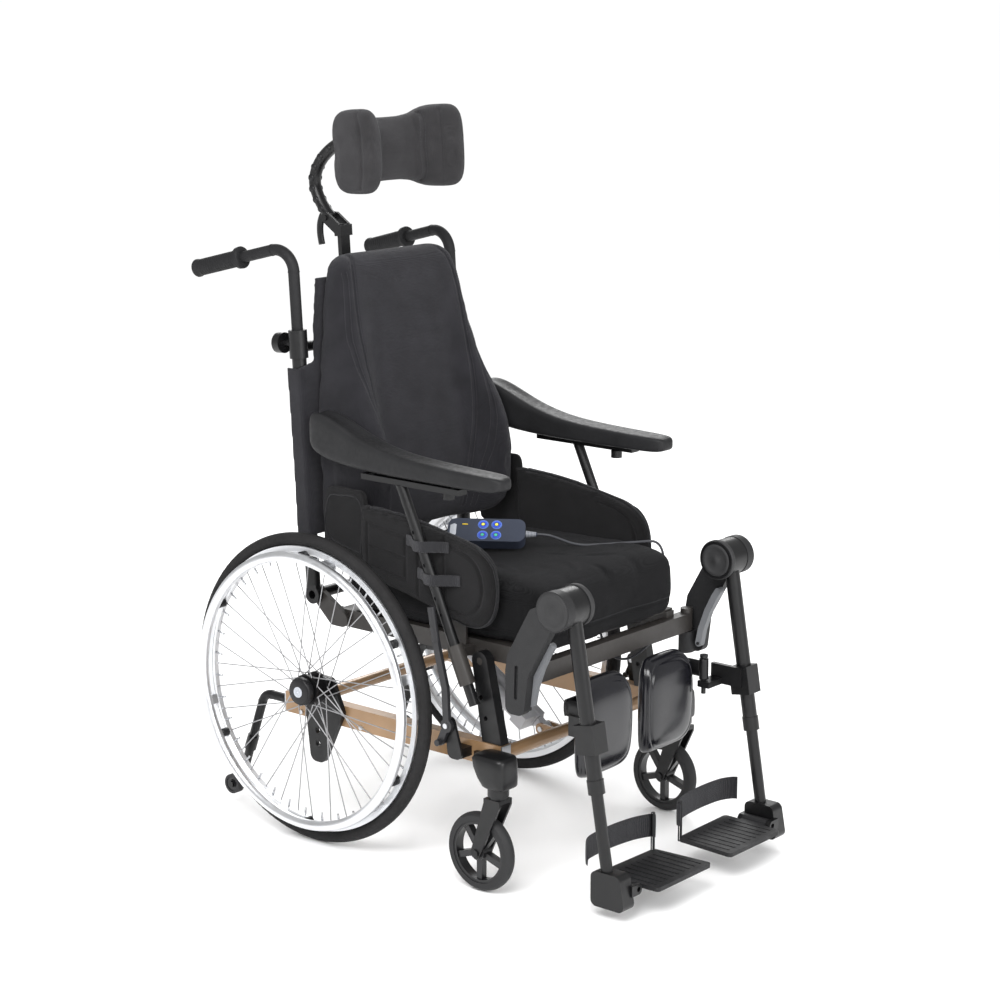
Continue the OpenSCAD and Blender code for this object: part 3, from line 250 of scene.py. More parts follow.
M = {
    "rail": lacquer("rail_lacquer", (0.30, 0.182, 0.092), 0.34, 0.6, 0.25),
    "black": lacquer("black_powder", (0.0055, 0.0055, 0.006), 0.36, 0.06),
    "grey": lacquer("dark_grey_powder", (0.030, 0.027, 0.025), 0.45, 0.1),
    "zinc": metal("zinc_plate", (0.58, 0.59, 0.61), 0.32),
    "alloy": metal("polished_alloy", (0.80, 0.81, 0.83), 0.34),
    "rim": metal("rim_alloy", (0.86, 0.87, 0.88), 0.55),
    "steel": metal("ground_steel", (0.72, 0.72, 0.74), 0.14, (1, 8, 8)),
    "satin": metal("satin_anodised", (0.46, 0.47, 0.50), 0.36, (1, 1, 0.08)),
    "tyre": rubber("tyre_rubber", (0.0140, 0.0135, 0.0140), 0.72),
    "grip": rubber("grip_rubber", (0.013, 0.013, 0.014), 0.62),
    "pu": rubber("armrest_pu", (0.0140, 0.0140, 0.0150), 0.5, 0.0004),
    "case": plastic("black_case", (0.010, 0.010, 0.011), 0.42, 0.0002, 700),
    "motor": plastic("motor_case", (0.50, 0.50, 0.52), 0.4),
    "knee": plastic("knee_moulding", (0.017, 0.017, 0.018), 0.55, 0.0003, 420),
    "disc": plastic("knee_disc", (0.026, 0.026, 0.027), 0.6, 0.0004, 380),
    "light": plastic("light_grey_moulding", (0.150, 0.155, 0.165), 0.42, 0.0002),
    "brake": lacquer("brake_lacquer", (0.016, 0.016, 0.018), 0.4, 0.15),
    "shell": plastic("handset_shell", (0.034, 0.041, 0.062), 0.36, 0.0001, 1100, 0.25),
    "ring": plastic("button_ring", (0.10, 0.18, 0.55), 0.32, 0.00008),
    "silver": plastic("silver_moulding", (0.42, 0.44, 0.48), 0.28, 0.00006, 1100, 0.3),
    "yellow": plastic("yellow_button", (0.62, 0.58, 0.10), 0.38, 0.00008),
    "green": plastic("green_button", (0.06, 0.36, 0.30), 0.38, 0.00008),
    "mark": plastic("yellow_mark", (0.80, 0.55, 0.03), 0.45, 0.00005),
    "cord": plastic("cord_pvc", (0.045, 0.046, 0.052), 0.42, 0.00008),
    "relief": plastic("relief_pvc", (0.27, 0.28, 0.30), 0.48, 0.00008),
    "plate": plastic("footplate_moulding", (0.012, 0.012, 0.013), 0.52, 0.0004, 500),
    "webbing": cloth_mat("webbing", (0.018, 0.018, 0.020), 0.0024, 0.0008, 0.8, 0.2),
    "seat": cloth_mat("seat_fabric", (0.0035, 0.0035, 0.004), 0.0019, 0.0005, 0.9, 0.05),
    "back": cloth_mat("back_fabric", (0.0165, 0.0160, 0.0190), 0.0019, 0.0005, 0.85, 0.10),
    "panel": cloth_mat("panel_fabric", (0.0075, 0.0072, 0.0075), 0.0016, 0.0005, 0.9, 0.08),
    "head": cloth_mat("head_fabric", (0.029, 0.028, 0.0295), 0.0016, 0.0004, 0.9, 0.12),
    "piping": cloth_mat("piping_tape", (0.009, 0.009, 0.010), 0.0014, 0.0004, 0.7, 0.15),
    "thread": cloth_mat("thread", (0.035, 0.035, 0.038), 0.0008, 0.0002, 0.6, 0.15),
    "vinyl": vinyl("calf_vinyl", (0.0025, 0.0025, 0.0045), 0.22),
    "vinyl_seam": vinyl("calf_seam", (0.007, 0.007, 0.009), 0.4),
}


def paint(node, mat):
    o = NODES[node]
    o.data.materials.clear()
    o.data.materials.append(mat)
    for p in o.data.polygons:
        p.material_index = 0


PLAIN = {
    "side_rails": "rail", "cross_tubes": "rail", "side_brackets": "black", "seat_supports": "black",
    "chassis_hardware": "zinc", "seat_frame": "grey", "control_box": "case", "handset": "shell",
    "button_recline_back": "yellow", "button_recline_up": "yellow", "button_tilt_back": "green",
    "button_tilt_up": "green", "back_frame": "black", "headrest_bar": "black", "headrest_arm": "black",
    "tilt_motor": "motor", "tilt_rod": "steel", "recline_motor": "motor", "recline_rod": "steel",
}
EACH_SIDE = {
    "handrim": "alloy", "castor_fork": "black", "antitip_arm": "black", "brake_lever": "brake",
    "armrest_post": "black", "push_handle": "grip", "legrest_hanger": "knee", "release_lever": "light",
    "legrest_tube": "black", "foot_tube": "black", "footplate": "plate",
}
for node, mat in PLAIN.items():
    paint(node, M[mat])


def button_mat(node, tint):
    """Blue surround with a small coloured mark in the middle, by the distance from the button's centre."""
    low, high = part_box(node)
    s = Shader(node, tint, 0.36)
    d = s.node("ShaderNodeVectorMath", operation="DISTANCE")
    s.links.new(s.coord, d.inputs[0])
    d.inputs[1].default_value = (low + high) / 2
    ramp = s.node("ShaderNodeValToRGB")
    s.links.new(s.math("MULTIPLY", d.outputs["Value"], 100.0), ramp.inputs[0])
    ramp.color_ramp.interpolation = "CONSTANT"
    stops = ((0.0, tint), (0.34, (0.06, 0.07, 0.10)), (0.52, (0.02, 0.07, 0.62)), (0.74, (0.12, 0.19, 0.60)))
    for i, (at, color) in enumerate(stops):
        e = ramp.color_ramp.elements[i] if i < 2 else ramp.color_ramp.elements.new(at)
        e.position, e.color = at, (*color, 1)
    s.links.new(ramp.outputs[0], s.bsdf.inputs["Base Color"])
    return s.bump(s.noise(700, 2), 0.00008, 0.4).mat


for node, tint in (("recline_back", (0.80, 0.74, 0.10)), ("recline_up", (0.80, 0.74, 0.10)),
                   ("tilt_back", (0.05, 0.50, 0.34)), ("tilt_up", (0.05, 0.50, 0.34))):
    paint("button_" + node, button_mat("button_" + node, tint))
for side, s in SIDES:
    for node, mat in EACH_SIDE.items():
        paint(f"{node}_{side}", M[mat])
    paint(f"wheel_{side}", spoked_wheel(f"rear_wheel_{side}", P(0, 0, 305)))
    castor = P(284 * s, -425, 75)
    paint(f"castor_wheel_{side}", wheel_rubber(f"castor_{side}", (0.008, 0.008, 0.009), (0.013, 0.013, 0.014), castor, 0.056))
    tip = P(254 * s, 257, 47)
    paint(f"antitip_wheel_{side}", wheel_rubber(f"antitip_{side}", (0.012, 0.012, 0.013), (0.024, 0.024, 0.026), tip, 0.013))


# ---------- mesh helpers ----------
def new_object(name, verts, faces, mat, smooth=True):
    mesh = bpy.data.meshes.new(name)
    mesh.from_pydata([tuple(v) for v in verts], [], faces)
    mesh.validate()
    o = bpy.data.objects.new(name, mesh)
    bpy.context.scene.collection.objects.link(o)
    mesh.materials.append(mat)
    bm = bmesh.new()
    bm.from_mesh(mesh)
    bmesh.ops.recalc_face_normals(bm, faces=bm.faces)
    bm.to_mesh(mesh)
    bm.free()
    if smooth:
        mesh.shade_smooth()
    return o


def frame_of(axis):
    a = Vector(axis).normalized()
    u = a.orthogonal().normalized()
    return a, u, a.cross(u)


def lathe(name, centre, axis, profile, mat, n=64, ripple=None):
    """Turns (distance along axis, radius) points in millimetres into a closed shape of revolution."""
    a, u, w = frame_of(axis)
    verts, faces = [], []
    m = len(profile)
    for i in range(n):
        t = math.tau * i / n
        for j, (d, r) in enumerate(profile):
            r += ripple(i, j) if ripple else 0
            verts.append(centre + a * (d / 1000) + (u * math.cos(t) + w * math.sin(t)) * (max(r, 0.05) / 1000))
    for i in range(n):
        k = (i + 1) % n
        for j in range(m - 1):
            faces.append((i * m + j, k * m + j, k * m + j + 1, i * m + j + 1))
    faces.append(tuple(i * m for i in reversed(range(n))))
    faces.append(tuple(i * m + m - 1 for i in range(n)))
    return new_object(name, verts, faces, mat)


def ring_lathe(name, centre, axis, profile, mat, n=96, ripple=None):
    """As lathe, but the profile is a closed loop, such as a tyre's section."""
    a, u, w = frame_of(axis)
    m = len(profile)
    verts, faces = [], []
    for i in range(n):
        t = math.tau * i / n
        for j, (d, r) in enumerate(profile):
            r += ripple(i, j) if ripple else 0
            verts.append(centre + a * (d / 1000) + (u * math.cos(t) + w * math.sin(t)) * (r / 1000))
    for i in range(n):
        for j in range(m):
            k, l = (i + 1) % n, (j + 1) % m
            faces.append((i * m + j, k * m + j, k * m + l, i * m + l))
    return new_object(name, verts, faces, mat)


def smooth_line(points, steps=6, closed=False):
    """Catmull-Rom line through the points."""
    pts = [Vector(p) for p in points]
    n = len(pts)
    out = []
    for i in range(n if closed else n - 1):
        a, b, c, d = (pts[(i + k) % n] if closed else pts[min(max(i + k, 0), n - 1)] for k in (-1, 0, 1, 2))
        for s in range(steps):
            t = s / steps
            out.append(0.5 * (2 * b + (c - a) * t + (2 * a - 5 * b + 4 * c - d) * t * t + (3 * b - a - 3 * c + d) * t ** 3))
    if not closed:
        out.append(pts[-1])
    return out


def tube(name, points, radius, mat, closed=False, sides=10, wide=1.0, up=None):
    """Round or flattened tube along points, in metres."""
    pts = [Vector(p) for p in points]
    n = len(pts)
    verts, faces = [], []
    last = None
    for i, p in enumerate(pts):
        q = pts[(i + 1) % n] if closed or i < n - 1 else p
        o = pts[i - 1] if closed or i > 0 else p
        t = (q - o).normalized()
        if up is not None:
            u = Vector(up)
        elif last is None:
            u = t.orthogonal()
        else:
            u = last
        u = (u - t * u.dot(t)).normalized()
        last = u
        w = t.cross(u)
        for j in range(sides):
            a = math.tau * j / sides
            verts.append(p + (u * math.cos(a) + w * math.sin(a) * wide) * radius)
    for i in range(n if closed else n - 1):
        k = (i + 1) % n
        for j in range(sides):
            l = (j + 1) % sides
            faces.append((i * sides + j, k * sides + j, k * sides + l, i * sides + l))
    if not closed:
        faces.append(tuple(reversed(range(sides))))
        faces.append(tuple((n - 1) * sides + j for j in range(sides)))
    return new_object(name, verts, faces, mat)


def join(name, parts):
    """Joins objects that share one material into one."""
    bm = bmesh.new()
    for o in parts:
        bm.from_mesh(o.data)
    mesh = bpy.data.meshes.new(name)
    bm.to_mesh(mesh)
    bm.free()
    o = bpy.data.objects.new(name, mesh)
    bpy.context.scene.collection.objects.link(o)
    mesh.materials.append(parts[0].data.materials[0])
    for p in parts:
        bpy.data.objects.remove(p)
    mesh.shade_smooth()
    return o


def apply_modifiers(o):
    deps = bpy.context.evaluated_depsgraph_get()
    mesh = bpy.data.meshes.new_from_object(o.evaluated_get(deps))
    o.modifiers.clear()
    o.data = mesh


def coords(o):
    co = np.zeros(len(o.data.vertices) * 3)
    o.data.vertices.foreach_get("co", co)
    return co.reshape(-1, 3)


def set_coords(o, co):
    o.data.vertices.foreach_set("co", co.astype(np.float32).ravel())
    o.data.update()


def loft(name, loops, mat):
    """Closed skin over a row of loops that have the same number of points."""
    n = len(loops[0])
    verts = [p for loop in loops for p in loop]
    faces = []
    for i in range(len(loops) - 1):
        for j in range(n):
            k = (j + 1) % n
            faces.append((i * n + j, i * n + k, (i + 1) * n + k, (i + 1) * n + j))
    faces.append(tuple(reversed(range(n))))
    faces.append(tuple((len(loops) - 1) * n + j for j in range(n)))
    return new_object(name, verts, faces, mat)


def soften(name, node, mat, voxel=0.005, cap=(0.008, 0.008, 0.008), pressure=4.0, rounds=6, levels=1, shape=None):
    """A stuffed pad made from a CAD solid or a lofted shape: remeshed, blown up as cloth, capped, then subdivided."""
    if shape is None:
        o = NODES[node].copy()
        o.data = NODES[node].data.copy()
        o.parent = None
        for key in list(o.keys()):
            del o[key]
        bpy.context.scene.collection.objects.link(o)
    else:
        o = shape
    o.name = name
    bm = bmesh.new()
    bm.from_mesh(o.data)
    bmesh.ops.remove_doubles(bm, verts=bm.verts, dist=1e-5)
    bm.to_mesh(o.data)
    bm.free()
    m = o.modifiers.new("remesh", "REMESH")
    m.mode = "VOXEL"
    m.voxel_size = voxel
    apply_modifiers(o)
    m = o.modifiers.new("smooth", "SMOOTH")
    m.factor = 0.5
    m.iterations = rounds
    apply_modifiers(o)
    rest = coords(o)
    c = o.modifiers.new("cloth", "CLOTH")
    c.settings.quality = 4
    c.settings.mass = 0.3
    c.settings.tension_stiffness = 12
    c.settings.compression_stiffness = 12
    c.settings.shear_stiffness = 5
    c.settings.bending_stiffness = 0.4
    c.settings.use_pressure = True
    c.settings.uniform_pressure_force = pressure
    c.settings.effector_weights.gravity = 0
    c.collision_settings.use_collision = False
    c.point_cache.frame_start = 1
    c.point_cache.frame_end = 20
    for f in range(1, 21):
        bpy.context.scene.frame_set(f)
    apply_modifiers(o)
    bpy.context.scene.frame_set(1)
    move = coords(o) - rest
    limit = np.array(cap)
    set_coords(o, rest + limit * np.tanh(move / limit))
    if levels:
        m = o.modifiers.new("fine", "SUBSURF")
        m.levels = levels
        m.render_levels = levels
        apply_modifiers(o)
    o.data.materials.clear()
    o.data.materials.append(mat)
    o.data.shade_smooth()
    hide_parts(node)
    return o


def tree_of(o):
    bm = bmesh.new()
    bm.from_mesh(o.data)
    t = BVHTree.FromBMesh(bm)
    bm.free()
    return t


def press(o, lines, toward, depth=0.003, width=0.004, sign=None):
    """Sewn channels: sinks the skin near each line, seen along one direction."""
    a, u, w = frame_of(toward)
    co = coords(o)
    flat = np.stack([co @ np.array(u), co @ np.array(w)], 1)
    nrm = np.zeros(len(co) * 3)
    o.data.vertices.foreach_get("normal", nrm)
    nrm = nrm.reshape(-1, 3)
    facing = nrm @ np.array(a)
    total = np.zeros(len(co))
    for line in lines:
        pts = np.array([[Vector(p).dot(u), Vector(p).dot(w)] for p in line])
        best = np.full(len(co), 1e9)
        for p, q in zip(pts[:-1], pts[1:]):
            d = q - p
            t = np.clip(((flat - p) @ d) / max(d @ d, 1e-12), 0, 1)
            best = np.minimum(best, np.linalg.norm(flat - p - t[:, None] * d, axis=1))
        total = np.maximum(total, np.exp(-(best / width) ** 2))
    on = (facing > 0.1) if sign is None else (facing * sign > 0.1)
    set_coords(o, co - nrm * (total * on * depth)[:, None])


def lay_on(o, line, toward, lift=0.0):
    """Drops a line onto a piece from outside, along -toward."""
    t = tree_of(o)
    a = Vector(toward).normalized()
    out = []
    for p in line:
        hit, normal, _, _ = t.ray_cast(Vector(p) + a * 0.6, -a)
        if hit is not None:
            out.append(hit + normal * lift)
    return out


def stitches(name, o, lines, toward, body, gap=0.006, size=0.0032, r=0.00055):
    """Rows of short raised thread along lines that are laid on a piece."""
    parts = []
    verts, faces = [], []
    for line in lines:
        laid = lay_on(o, line, toward, 0.0002)
        if len(laid) < 2:
            continue
        walk = 0.0
        for p, q in zip(laid[:-1], laid[1:]):
            d = q - p
            if d.length > 0.05 or d.length < 1e-6:
                continue
            while walk < d.length:
                c = p + d.normalized() * walk
                t = d.normalized()
                u = t.orthogonal().normalized()
                w = t.cross(u)
                base = len(verts)
                for e, k in ((-size / 2, 0.3), (-size / 4, 1), (size / 4, 1), (size / 2, 0.3)):
                    for j in range(5):
                        g = math.tau * j / 5
                        verts.append(c + t * e + (u * math.cos(g) + w * math.sin(g)) * r * k)
                for i in range(3):
                    for j in range(5):
                        l = (j + 1) % 5
                        faces.append((base + i * 5 + j, base + i * 5 + l, base + i * 5 + 5 + l, base + i * 5 + 5 + j))
                faces.append(tuple(base + j for j in range(5)))
                faces.append(tuple(base + 15 + j for j in reversed(range(5))))
                walk += gap
            walk -= d.length
    if verts:
        s = new_object(name, verts, faces, M["thread"])
        return s
    return None


# ---------- handset cord, first after the camera ----------
ROUTE = [
    (40, -290, 593), (46, -298, 593), (55, -311, 591), (66, -325, 585), (80, -341, 577),
    (97, -357, 572), (120, -374, 571), (145, -391, 571), (170, -407, 571), (190, -421, 571),
    (203, -434, 572), (212, -446, 571), (218, -455, 561), (221, -460, 541), (221, -461, 515),
    (221, -461, 485), (221, -461, 460), (220, -461, 435), (218, -460, 414), (212, -458, 396),
    (200, -454, 380), (184, -446, 364), (170, -434, 350), (160, -419, 342), (154, -402, 341),
    (151, -386, 348), (150, -373, 362), (150, -364, 380), (150, -357, 397), (150, -350, 411), (150, -344, 420)]
cord_line = smooth_line([P(*p) for p in ROUTE], 4)
cable = tube("handset_cord", cord_line, 0.0025, M["cord"], sides=12)
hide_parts("handset_cable")
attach(cable, "seat")

# ---------- rear wheels ----------
for side, s in SIDES:
    centre = P(289 * s, 0, 305)
    profile = []
    for k in range(56):
        a = math.tau * k / 56
        d, r = 14 * math.cos(a), 292.3 + 12.6 * math.sin(a)
        if math.sin(a) > 0.25:
            r += -0.55 if (k % 4) < 1 else 0.0
        profile.append((d * 0.995, r))

    def tread(i, j):
        high = math.sin(math.tau * j / 56)
        lane = (j // 4) % 2
        return -0.7 if 0.2 < high < 0.93 and ((i + 2 * lane) % 4 == 0) else 0.0
    tyre = ring_lathe(f"tyre_tread_{side}", centre, (1, 0, 0), profile, M["tyre"], n=420, ripple=tread)
    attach(tyre, f"rear_wheel_{side}")
    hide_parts(f"tyre_{side}")
    cap = lathe(f"hub_cap_{side}", P(289 * s, 0, 305), (s, 0, 0),
                [(4, 23.5), (20, 23.5), (21, 26), (24, 27.5), (31, 27.5), (35, 25.6), (37, 21), (37.4, 12), (37.4, 3)],
                M["case"], 72, lambda i, j: -0.7 if j in (2, 3, 4) and i % 6 < 2 else 0)
    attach(cap, f"rear_wheel_{side}")
    knob = lathe(f"axle_knob_{side}", P(289 * s, 0, 305), (s, 0, 0),
                 [(36, 10.5), (38.6, 10.5), (39.6, 9.6), (39.6, 7.4), (38.8, 6.8), (38.8, 3), (40.4, 2.6), (40.6, 0.5)], M["silver"], 48)
    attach(knob, f"rear_wheel_{side}")
    clamps = []
    for k in range(6):
        a = math.tau * (k + 0.5) / 6
        out = Vector((0, math.cos(a), math.sin(a)))
        mid = centre + out * 0.2655
        clamps.append(tube(f"clamp{k}", [mid + Vector((s * 0.008, 0, 0)), mid + Vector((s * 0.012, 0, 0)),
                                         mid + Vector((s * 0.020, 0, 0)), mid + Vector((s * 0.025, 0, 0))], 0.0085, M["case"], sides=16))
    clamp = join(f"handrim_clamps_{side}", clamps)
    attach(clamp, f"rear_wheel_{side}")
    nipples = []
    for k in range(36):
        a = math.tau * (k + 0.5) / 36
        out = Vector((0, math.cos(a), math.sin(a)))
        nipples.append(tube(f"nip{k}", [centre + out * 0.2485, centre + out * 0.2585, centre + out * 0.2645], 0.0021, M["zinc"], sides=8))
    nip = join(f"spoke_nipples_{side}", nipples)
    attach(nip, f"rear_wheel_{side}")

# ---------- soft goods ----------
FRONT = (0, -1, 0)



def finish_pad(o, body):
    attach(o, body)


def along(o, name, points, toward, r, mat, body, slot_name, closed=False, lift=0.0, steps=8, snap=True):
    line = smooth_line(points, steps, closed)
    if snap:
        line = lay_on(o, line, toward, lift)
    if len(line) < 4:
        return None
    t = tube(name, line, r, mat, closed)
    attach(t, body)
    return t


def power(c, k):
    return math.copysign(abs(c) ** k, c)


# seat cushion: lofted from front to rear, fuller at the front edge
def seat_loop(y, half, low, high, soft):
    loop = []
    for j in range(72):
        a = math.tau * (j + 0.5) / 72
        x = half * power(math.cos(a), soft)
        z = (low + high) / 2 + (high - low) / 2 * power(math.sin(a), soft)
        loop.append(P(x, y, z))
    return loop


SEAT_ROWS = [(-508, 178, 456, 528, 0.42), (-505.5, 192, 442, 540, 0.34), (-501, 200, 437, 549, 0.28), (-495.5, 204, 436, 555, 0.26),
             (-489, 206, 450, 558, 0.25), (-478, 207, 450, 562, 0.25),
             (-450, 209, 450, 565, 0.24), (-380, 210, 450, 567, 0.22), (-280, 210, 450, 564, 0.22), (-160, 210, 450, 561, 0.22),
             (-60, 209, 450, 560, 0.24), (-24, 207, 450, 557, 0.28), (-10, 202, 452, 550, 0.34), (-7, 190, 460, 540, 0.42)]
seat = soften("seat_pad", "seat_cushion", M["seat"], 0.006, (0.002, 0.006, 0.008), 5.0, 6,
              shape=loft("seat_shape", [seat_loop(*row) for row in SEAT_ROWS], M["seat"]))
co = coords(seat)
x, y, z = co[:, 0], co[:, 1] - AXLE_Y, co[:, 2]
top = np.clip((z - 0.50) / 0.066, 0, 1)
co[:, 2] -= 0.012 * top * np.exp(-(x / 0.15) ** 2 - ((y + 0.22) / 0.17) ** 2)
for (cx, cy, ang, size, depth) in ((0.06, -0.43, 0.9, 0.035, 0.0022), (-0.05, -0.44, -0.7, 0.03, 0.0018), (0.13, -0.36, 0.4, 0.04, 0.0018),
                                   (-0.13, -0.33, -0.4, 0.04, 0.0016), (0.02, -0.36, 0.1, 0.03, 0.0014), (0.17, -0.25, 0.2, 0.05, 0.0014)):
    across = (x - cx) * math.cos(ang) + (y - cy) * math.sin(ang)
    along_fold = -(x - cx) * math.sin(ang) + (y - cy) * math.cos(ang)
    co[:, 2] -= depth * top * np.exp(-(across / 0.007) ** 2 - (along_fold / size) ** 2)
    co[:, 2] += depth * 0.8 * top * np.exp(-((across - 0.011) / 0.008) ** 2 - (along_fold / size) ** 2)
front = np.clip((-y - 0.46) / 0.04, 0, 1)
co[:, 1] += 0.0022 * front * np.sin(x * 34 + np.sin(z * 60)) * np.clip((0.54 - z) / 0.05, 0, 1)
set_coords(seat, co)
HEM_Z = 472
front_seam = [P(-190, -506, HEM_Z), P(-100, -512, HEM_Z), P(0, -512, HEM_Z), P(100, -512, HEM_Z), P(190, -506, HEM_Z)]
press(seat, [front_seam], FRONT, 0.0028, 0.0035)
for s in (-1, 1):
    press(seat, [[P(208 * s, -490, HEM_Z), P(208 * s, -10, HEM_Z)], [P(208 * s, -490, 536), P(208 * s, -10, 534)]], (s, 0, 0), 0.0022, 0.0035)
finish_pad(seat, "seat")
rows = [smooth_line([p + Vector((0, 0, 0.006)) for p in front_seam], 30)]
st = stitches("seat_stitching", seat, rows, FRONT, "seat")
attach(st, "seat")

# back cushion: lofted from bottom to top, with forward side bolsters that fade into the shoulders
BACK_ROWS = [  # w, half width, depth at the middle, depth at the bolster
    (98, 180, 30, 46), (101, 196, 46, 78), (110, 207, 60, 106), (130, 214, 70, 128), (170, 217, 77, 144), (240, 218, 79, 151),
    (300, 217, 76, 142), (336, 215, 72, 128), (385, 211, 66, 104), (440, 203, 60, 81), (500, 193, 56, 67), (560, 184, 52, 58),
    (605, 177, 48, 51), (632, 168, 43, 44), (646, 156, 36, 36), (653, 142, 27, 27), (657, 122, 16, 16)]
BACK_V = -22.5


def back_loop(w, half, middle, bolster):
    loop = []
    n = 48
    for j in range(n + 1):
        u = math.sin(math.pi / 2 * (2 * j / n - 1))
        k = min(max((abs(u) - 0.52) / 0.30, 0), 1)
        d = middle + (bolster - middle) * k * k * (3 - 2 * k)
        edge = min(max((abs(u) - 0.84) / 0.16, 0), 1)
        d = 10 + (d - 10) * (1 - edge ** 2.4) ** (1 / 2.4)
        loop.append(on_back(half * u, BACK_V - d, w))
    for j in range(n + 1):
        u = math.sin(math.pi / 2 * (1 - 2 * j / n))
        loop.append(on_back((half - 4) * u, BACK_V, w))
    return loop


back = soften("back_pad", "back_cushion", M["back"], 0.006, (0.003, 0.006, 0.004), 5.0, 8,
              shape=loft("back_shape", [back_loop(*row) for row in BACK_ROWS], M["back"]))
for_back = Vector((0, -math.cos(LEAN), math.sin(LEAN)))
SEAM = [(116, 126), (121, 180), (128, 240), (138, 310), (146, 400), (149, 490), (147, 560), (138, 620), (122, 648)]
channels = []
for s in (-1, 1):
    channels.append([on_back(x * s, -150, w) for x, w in SEAM])
    channels.append([on_back((x + 17 + (6 if 200 < w < 500 else 0)) * s, -150, w) for x, w in SEAM[:-1]])
dense = [smooth_line(c, 10) for c in channels]
press(back, dense[0::2], for_back, 0.0042, 0.0035)
press(back, dense[1::2], for_back, 0.0026, 0.003)
co = coords(back)
rng = np.random.default_rng(7)
for _ in range(16):
    cx, cw, ang = rng.uniform(-0.12, 0.12), rng.uniform(0.17, 0.60), rng.uniform(-0.5, 0.5)
    cz = 0.470 + cw * math.cos(LEAN)
    across = (co[:, 0] - cx) * math.sin(ang) + (co[:, 2] - cz) * math.cos(ang)
    length = (co[:, 0] - cx) * math.cos(ang) - (co[:, 2] - cz) * math.sin(ang)
    co[:, 1] += 0.0009 * np.exp(-(across / 0.012) ** 2 - (length / 0.06) ** 2)
set_coords(back, co)
finish_pad(back, "back")
rows = [smooth_line([p + Vector((dx, 0, 0)) for p in c], 40) for c in channels for dx in (-0.0042, 0.0042)]
st = stitches("back_stitching", back, rows, for_back, "back", gap=0.0052, size=0.0034)
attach(st, "back")

# upholstery that carries the back cushion: taut panel, modelled from the CAD wrap with soft edges
cover = soften("back_upholstery", "back_cover", M["back"], 0.0028, (0.0008, 0.0016, 0.001), 2.0, 2, 0)
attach(cover, "back")

# headrest: lofted along its curve from tip to tip
HEAD = [  # x, front v, back v, half height
    (0, -66, -24, 64), (36, -66, -24, 64.5), (60, -70, -24, 67), (76, -82, -24, 70.5), (90, -106, -25, 77), (102, -130, -25, 81),
    (114, -141, -26, 82.5), (126, -140, -28, 81), (135, -131, -34, 76), (140, -117, -44, 67), (142, -103, -58, 52)]
HEAD_W = 845


def head_loop(k, sign):
    x, front_v, back_v, half = HEAD[k]
    loop = []
    for j in range(56):
        g = math.tau * j / 56
        v = (front_v + back_v) / 2 + (back_v - front_v) / 2 * power(math.cos(g), 0.5)
        loop.append(on_back(sign * x, v, HEAD_W + half * power(math.sin(g), 0.58)))
    return loop


head_loops = [head_loop(k, -1) for k in range(len(HEAD) - 1, 0, -1)] + [head_loop(k, 1) for k in range(len(HEAD))]
head = soften("headrest_cushion", "headrest_pad", M["head"], 0.0045, (0.003, 0.004, 0.003), 5.0, 5,
              shape=loft("head_shape", head_loops, M["head"]))
head_seams = [[on_back(x * s, -100, w) for x, w in ((78, 774), (72, 800), (69, 845), (72, 890), (78, 916))] for s in (-1, 1)]
press(head, [smooth_line(c, 8) for c in head_seams], for_back, 0.004, 0.0035)
edge_seams = [[on_back(150 * s, v, w) for v, w in ((-104, 776), (-112, 800), (-114, 845), (-112, 890), (-104, 914))] for s in (-1, 1)]
for s, line in zip((-1, 1), edge_seams):
    press(head, [smooth_line(line, 8)], (s, 0, 0), 0.003, 0.003)
finish_pad(head, "headrest")
st = stitches("headrest_stitching", head, [smooth_line([p + Vector((dx, 0, 0)) for p in c], 20) for c in head_seams for dx in (-0.0045, 0.0045)], for_back, "headrest")
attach(st, "headrest")
# clamp plate and ears behind the pad, which the CAD pad node also holds
ears = []
for s in (-1, 1):
    ears.append(tube(f"ear{s}", [on_back(13.5 * s, v, w) for v, w in ((-26, 866), (-4, 866), (20, 866), (46, 866))], 0.0055, M["black"], sides=12, wide=2.2, up=(1, 0, 0)))
ears.append(tube("pin", [on_back(x, 46, 866) for x in (-21, -19, 19, 21)], 0.005, M["black"], sides=16))
ears.append(tube("boss", [on_back(0, v, 866) for v in (-29, -26, -20, -18)], 0.028, M["black"], sides=32))
ear = join("headrest_clamp", ears)
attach(ear, "headrest")

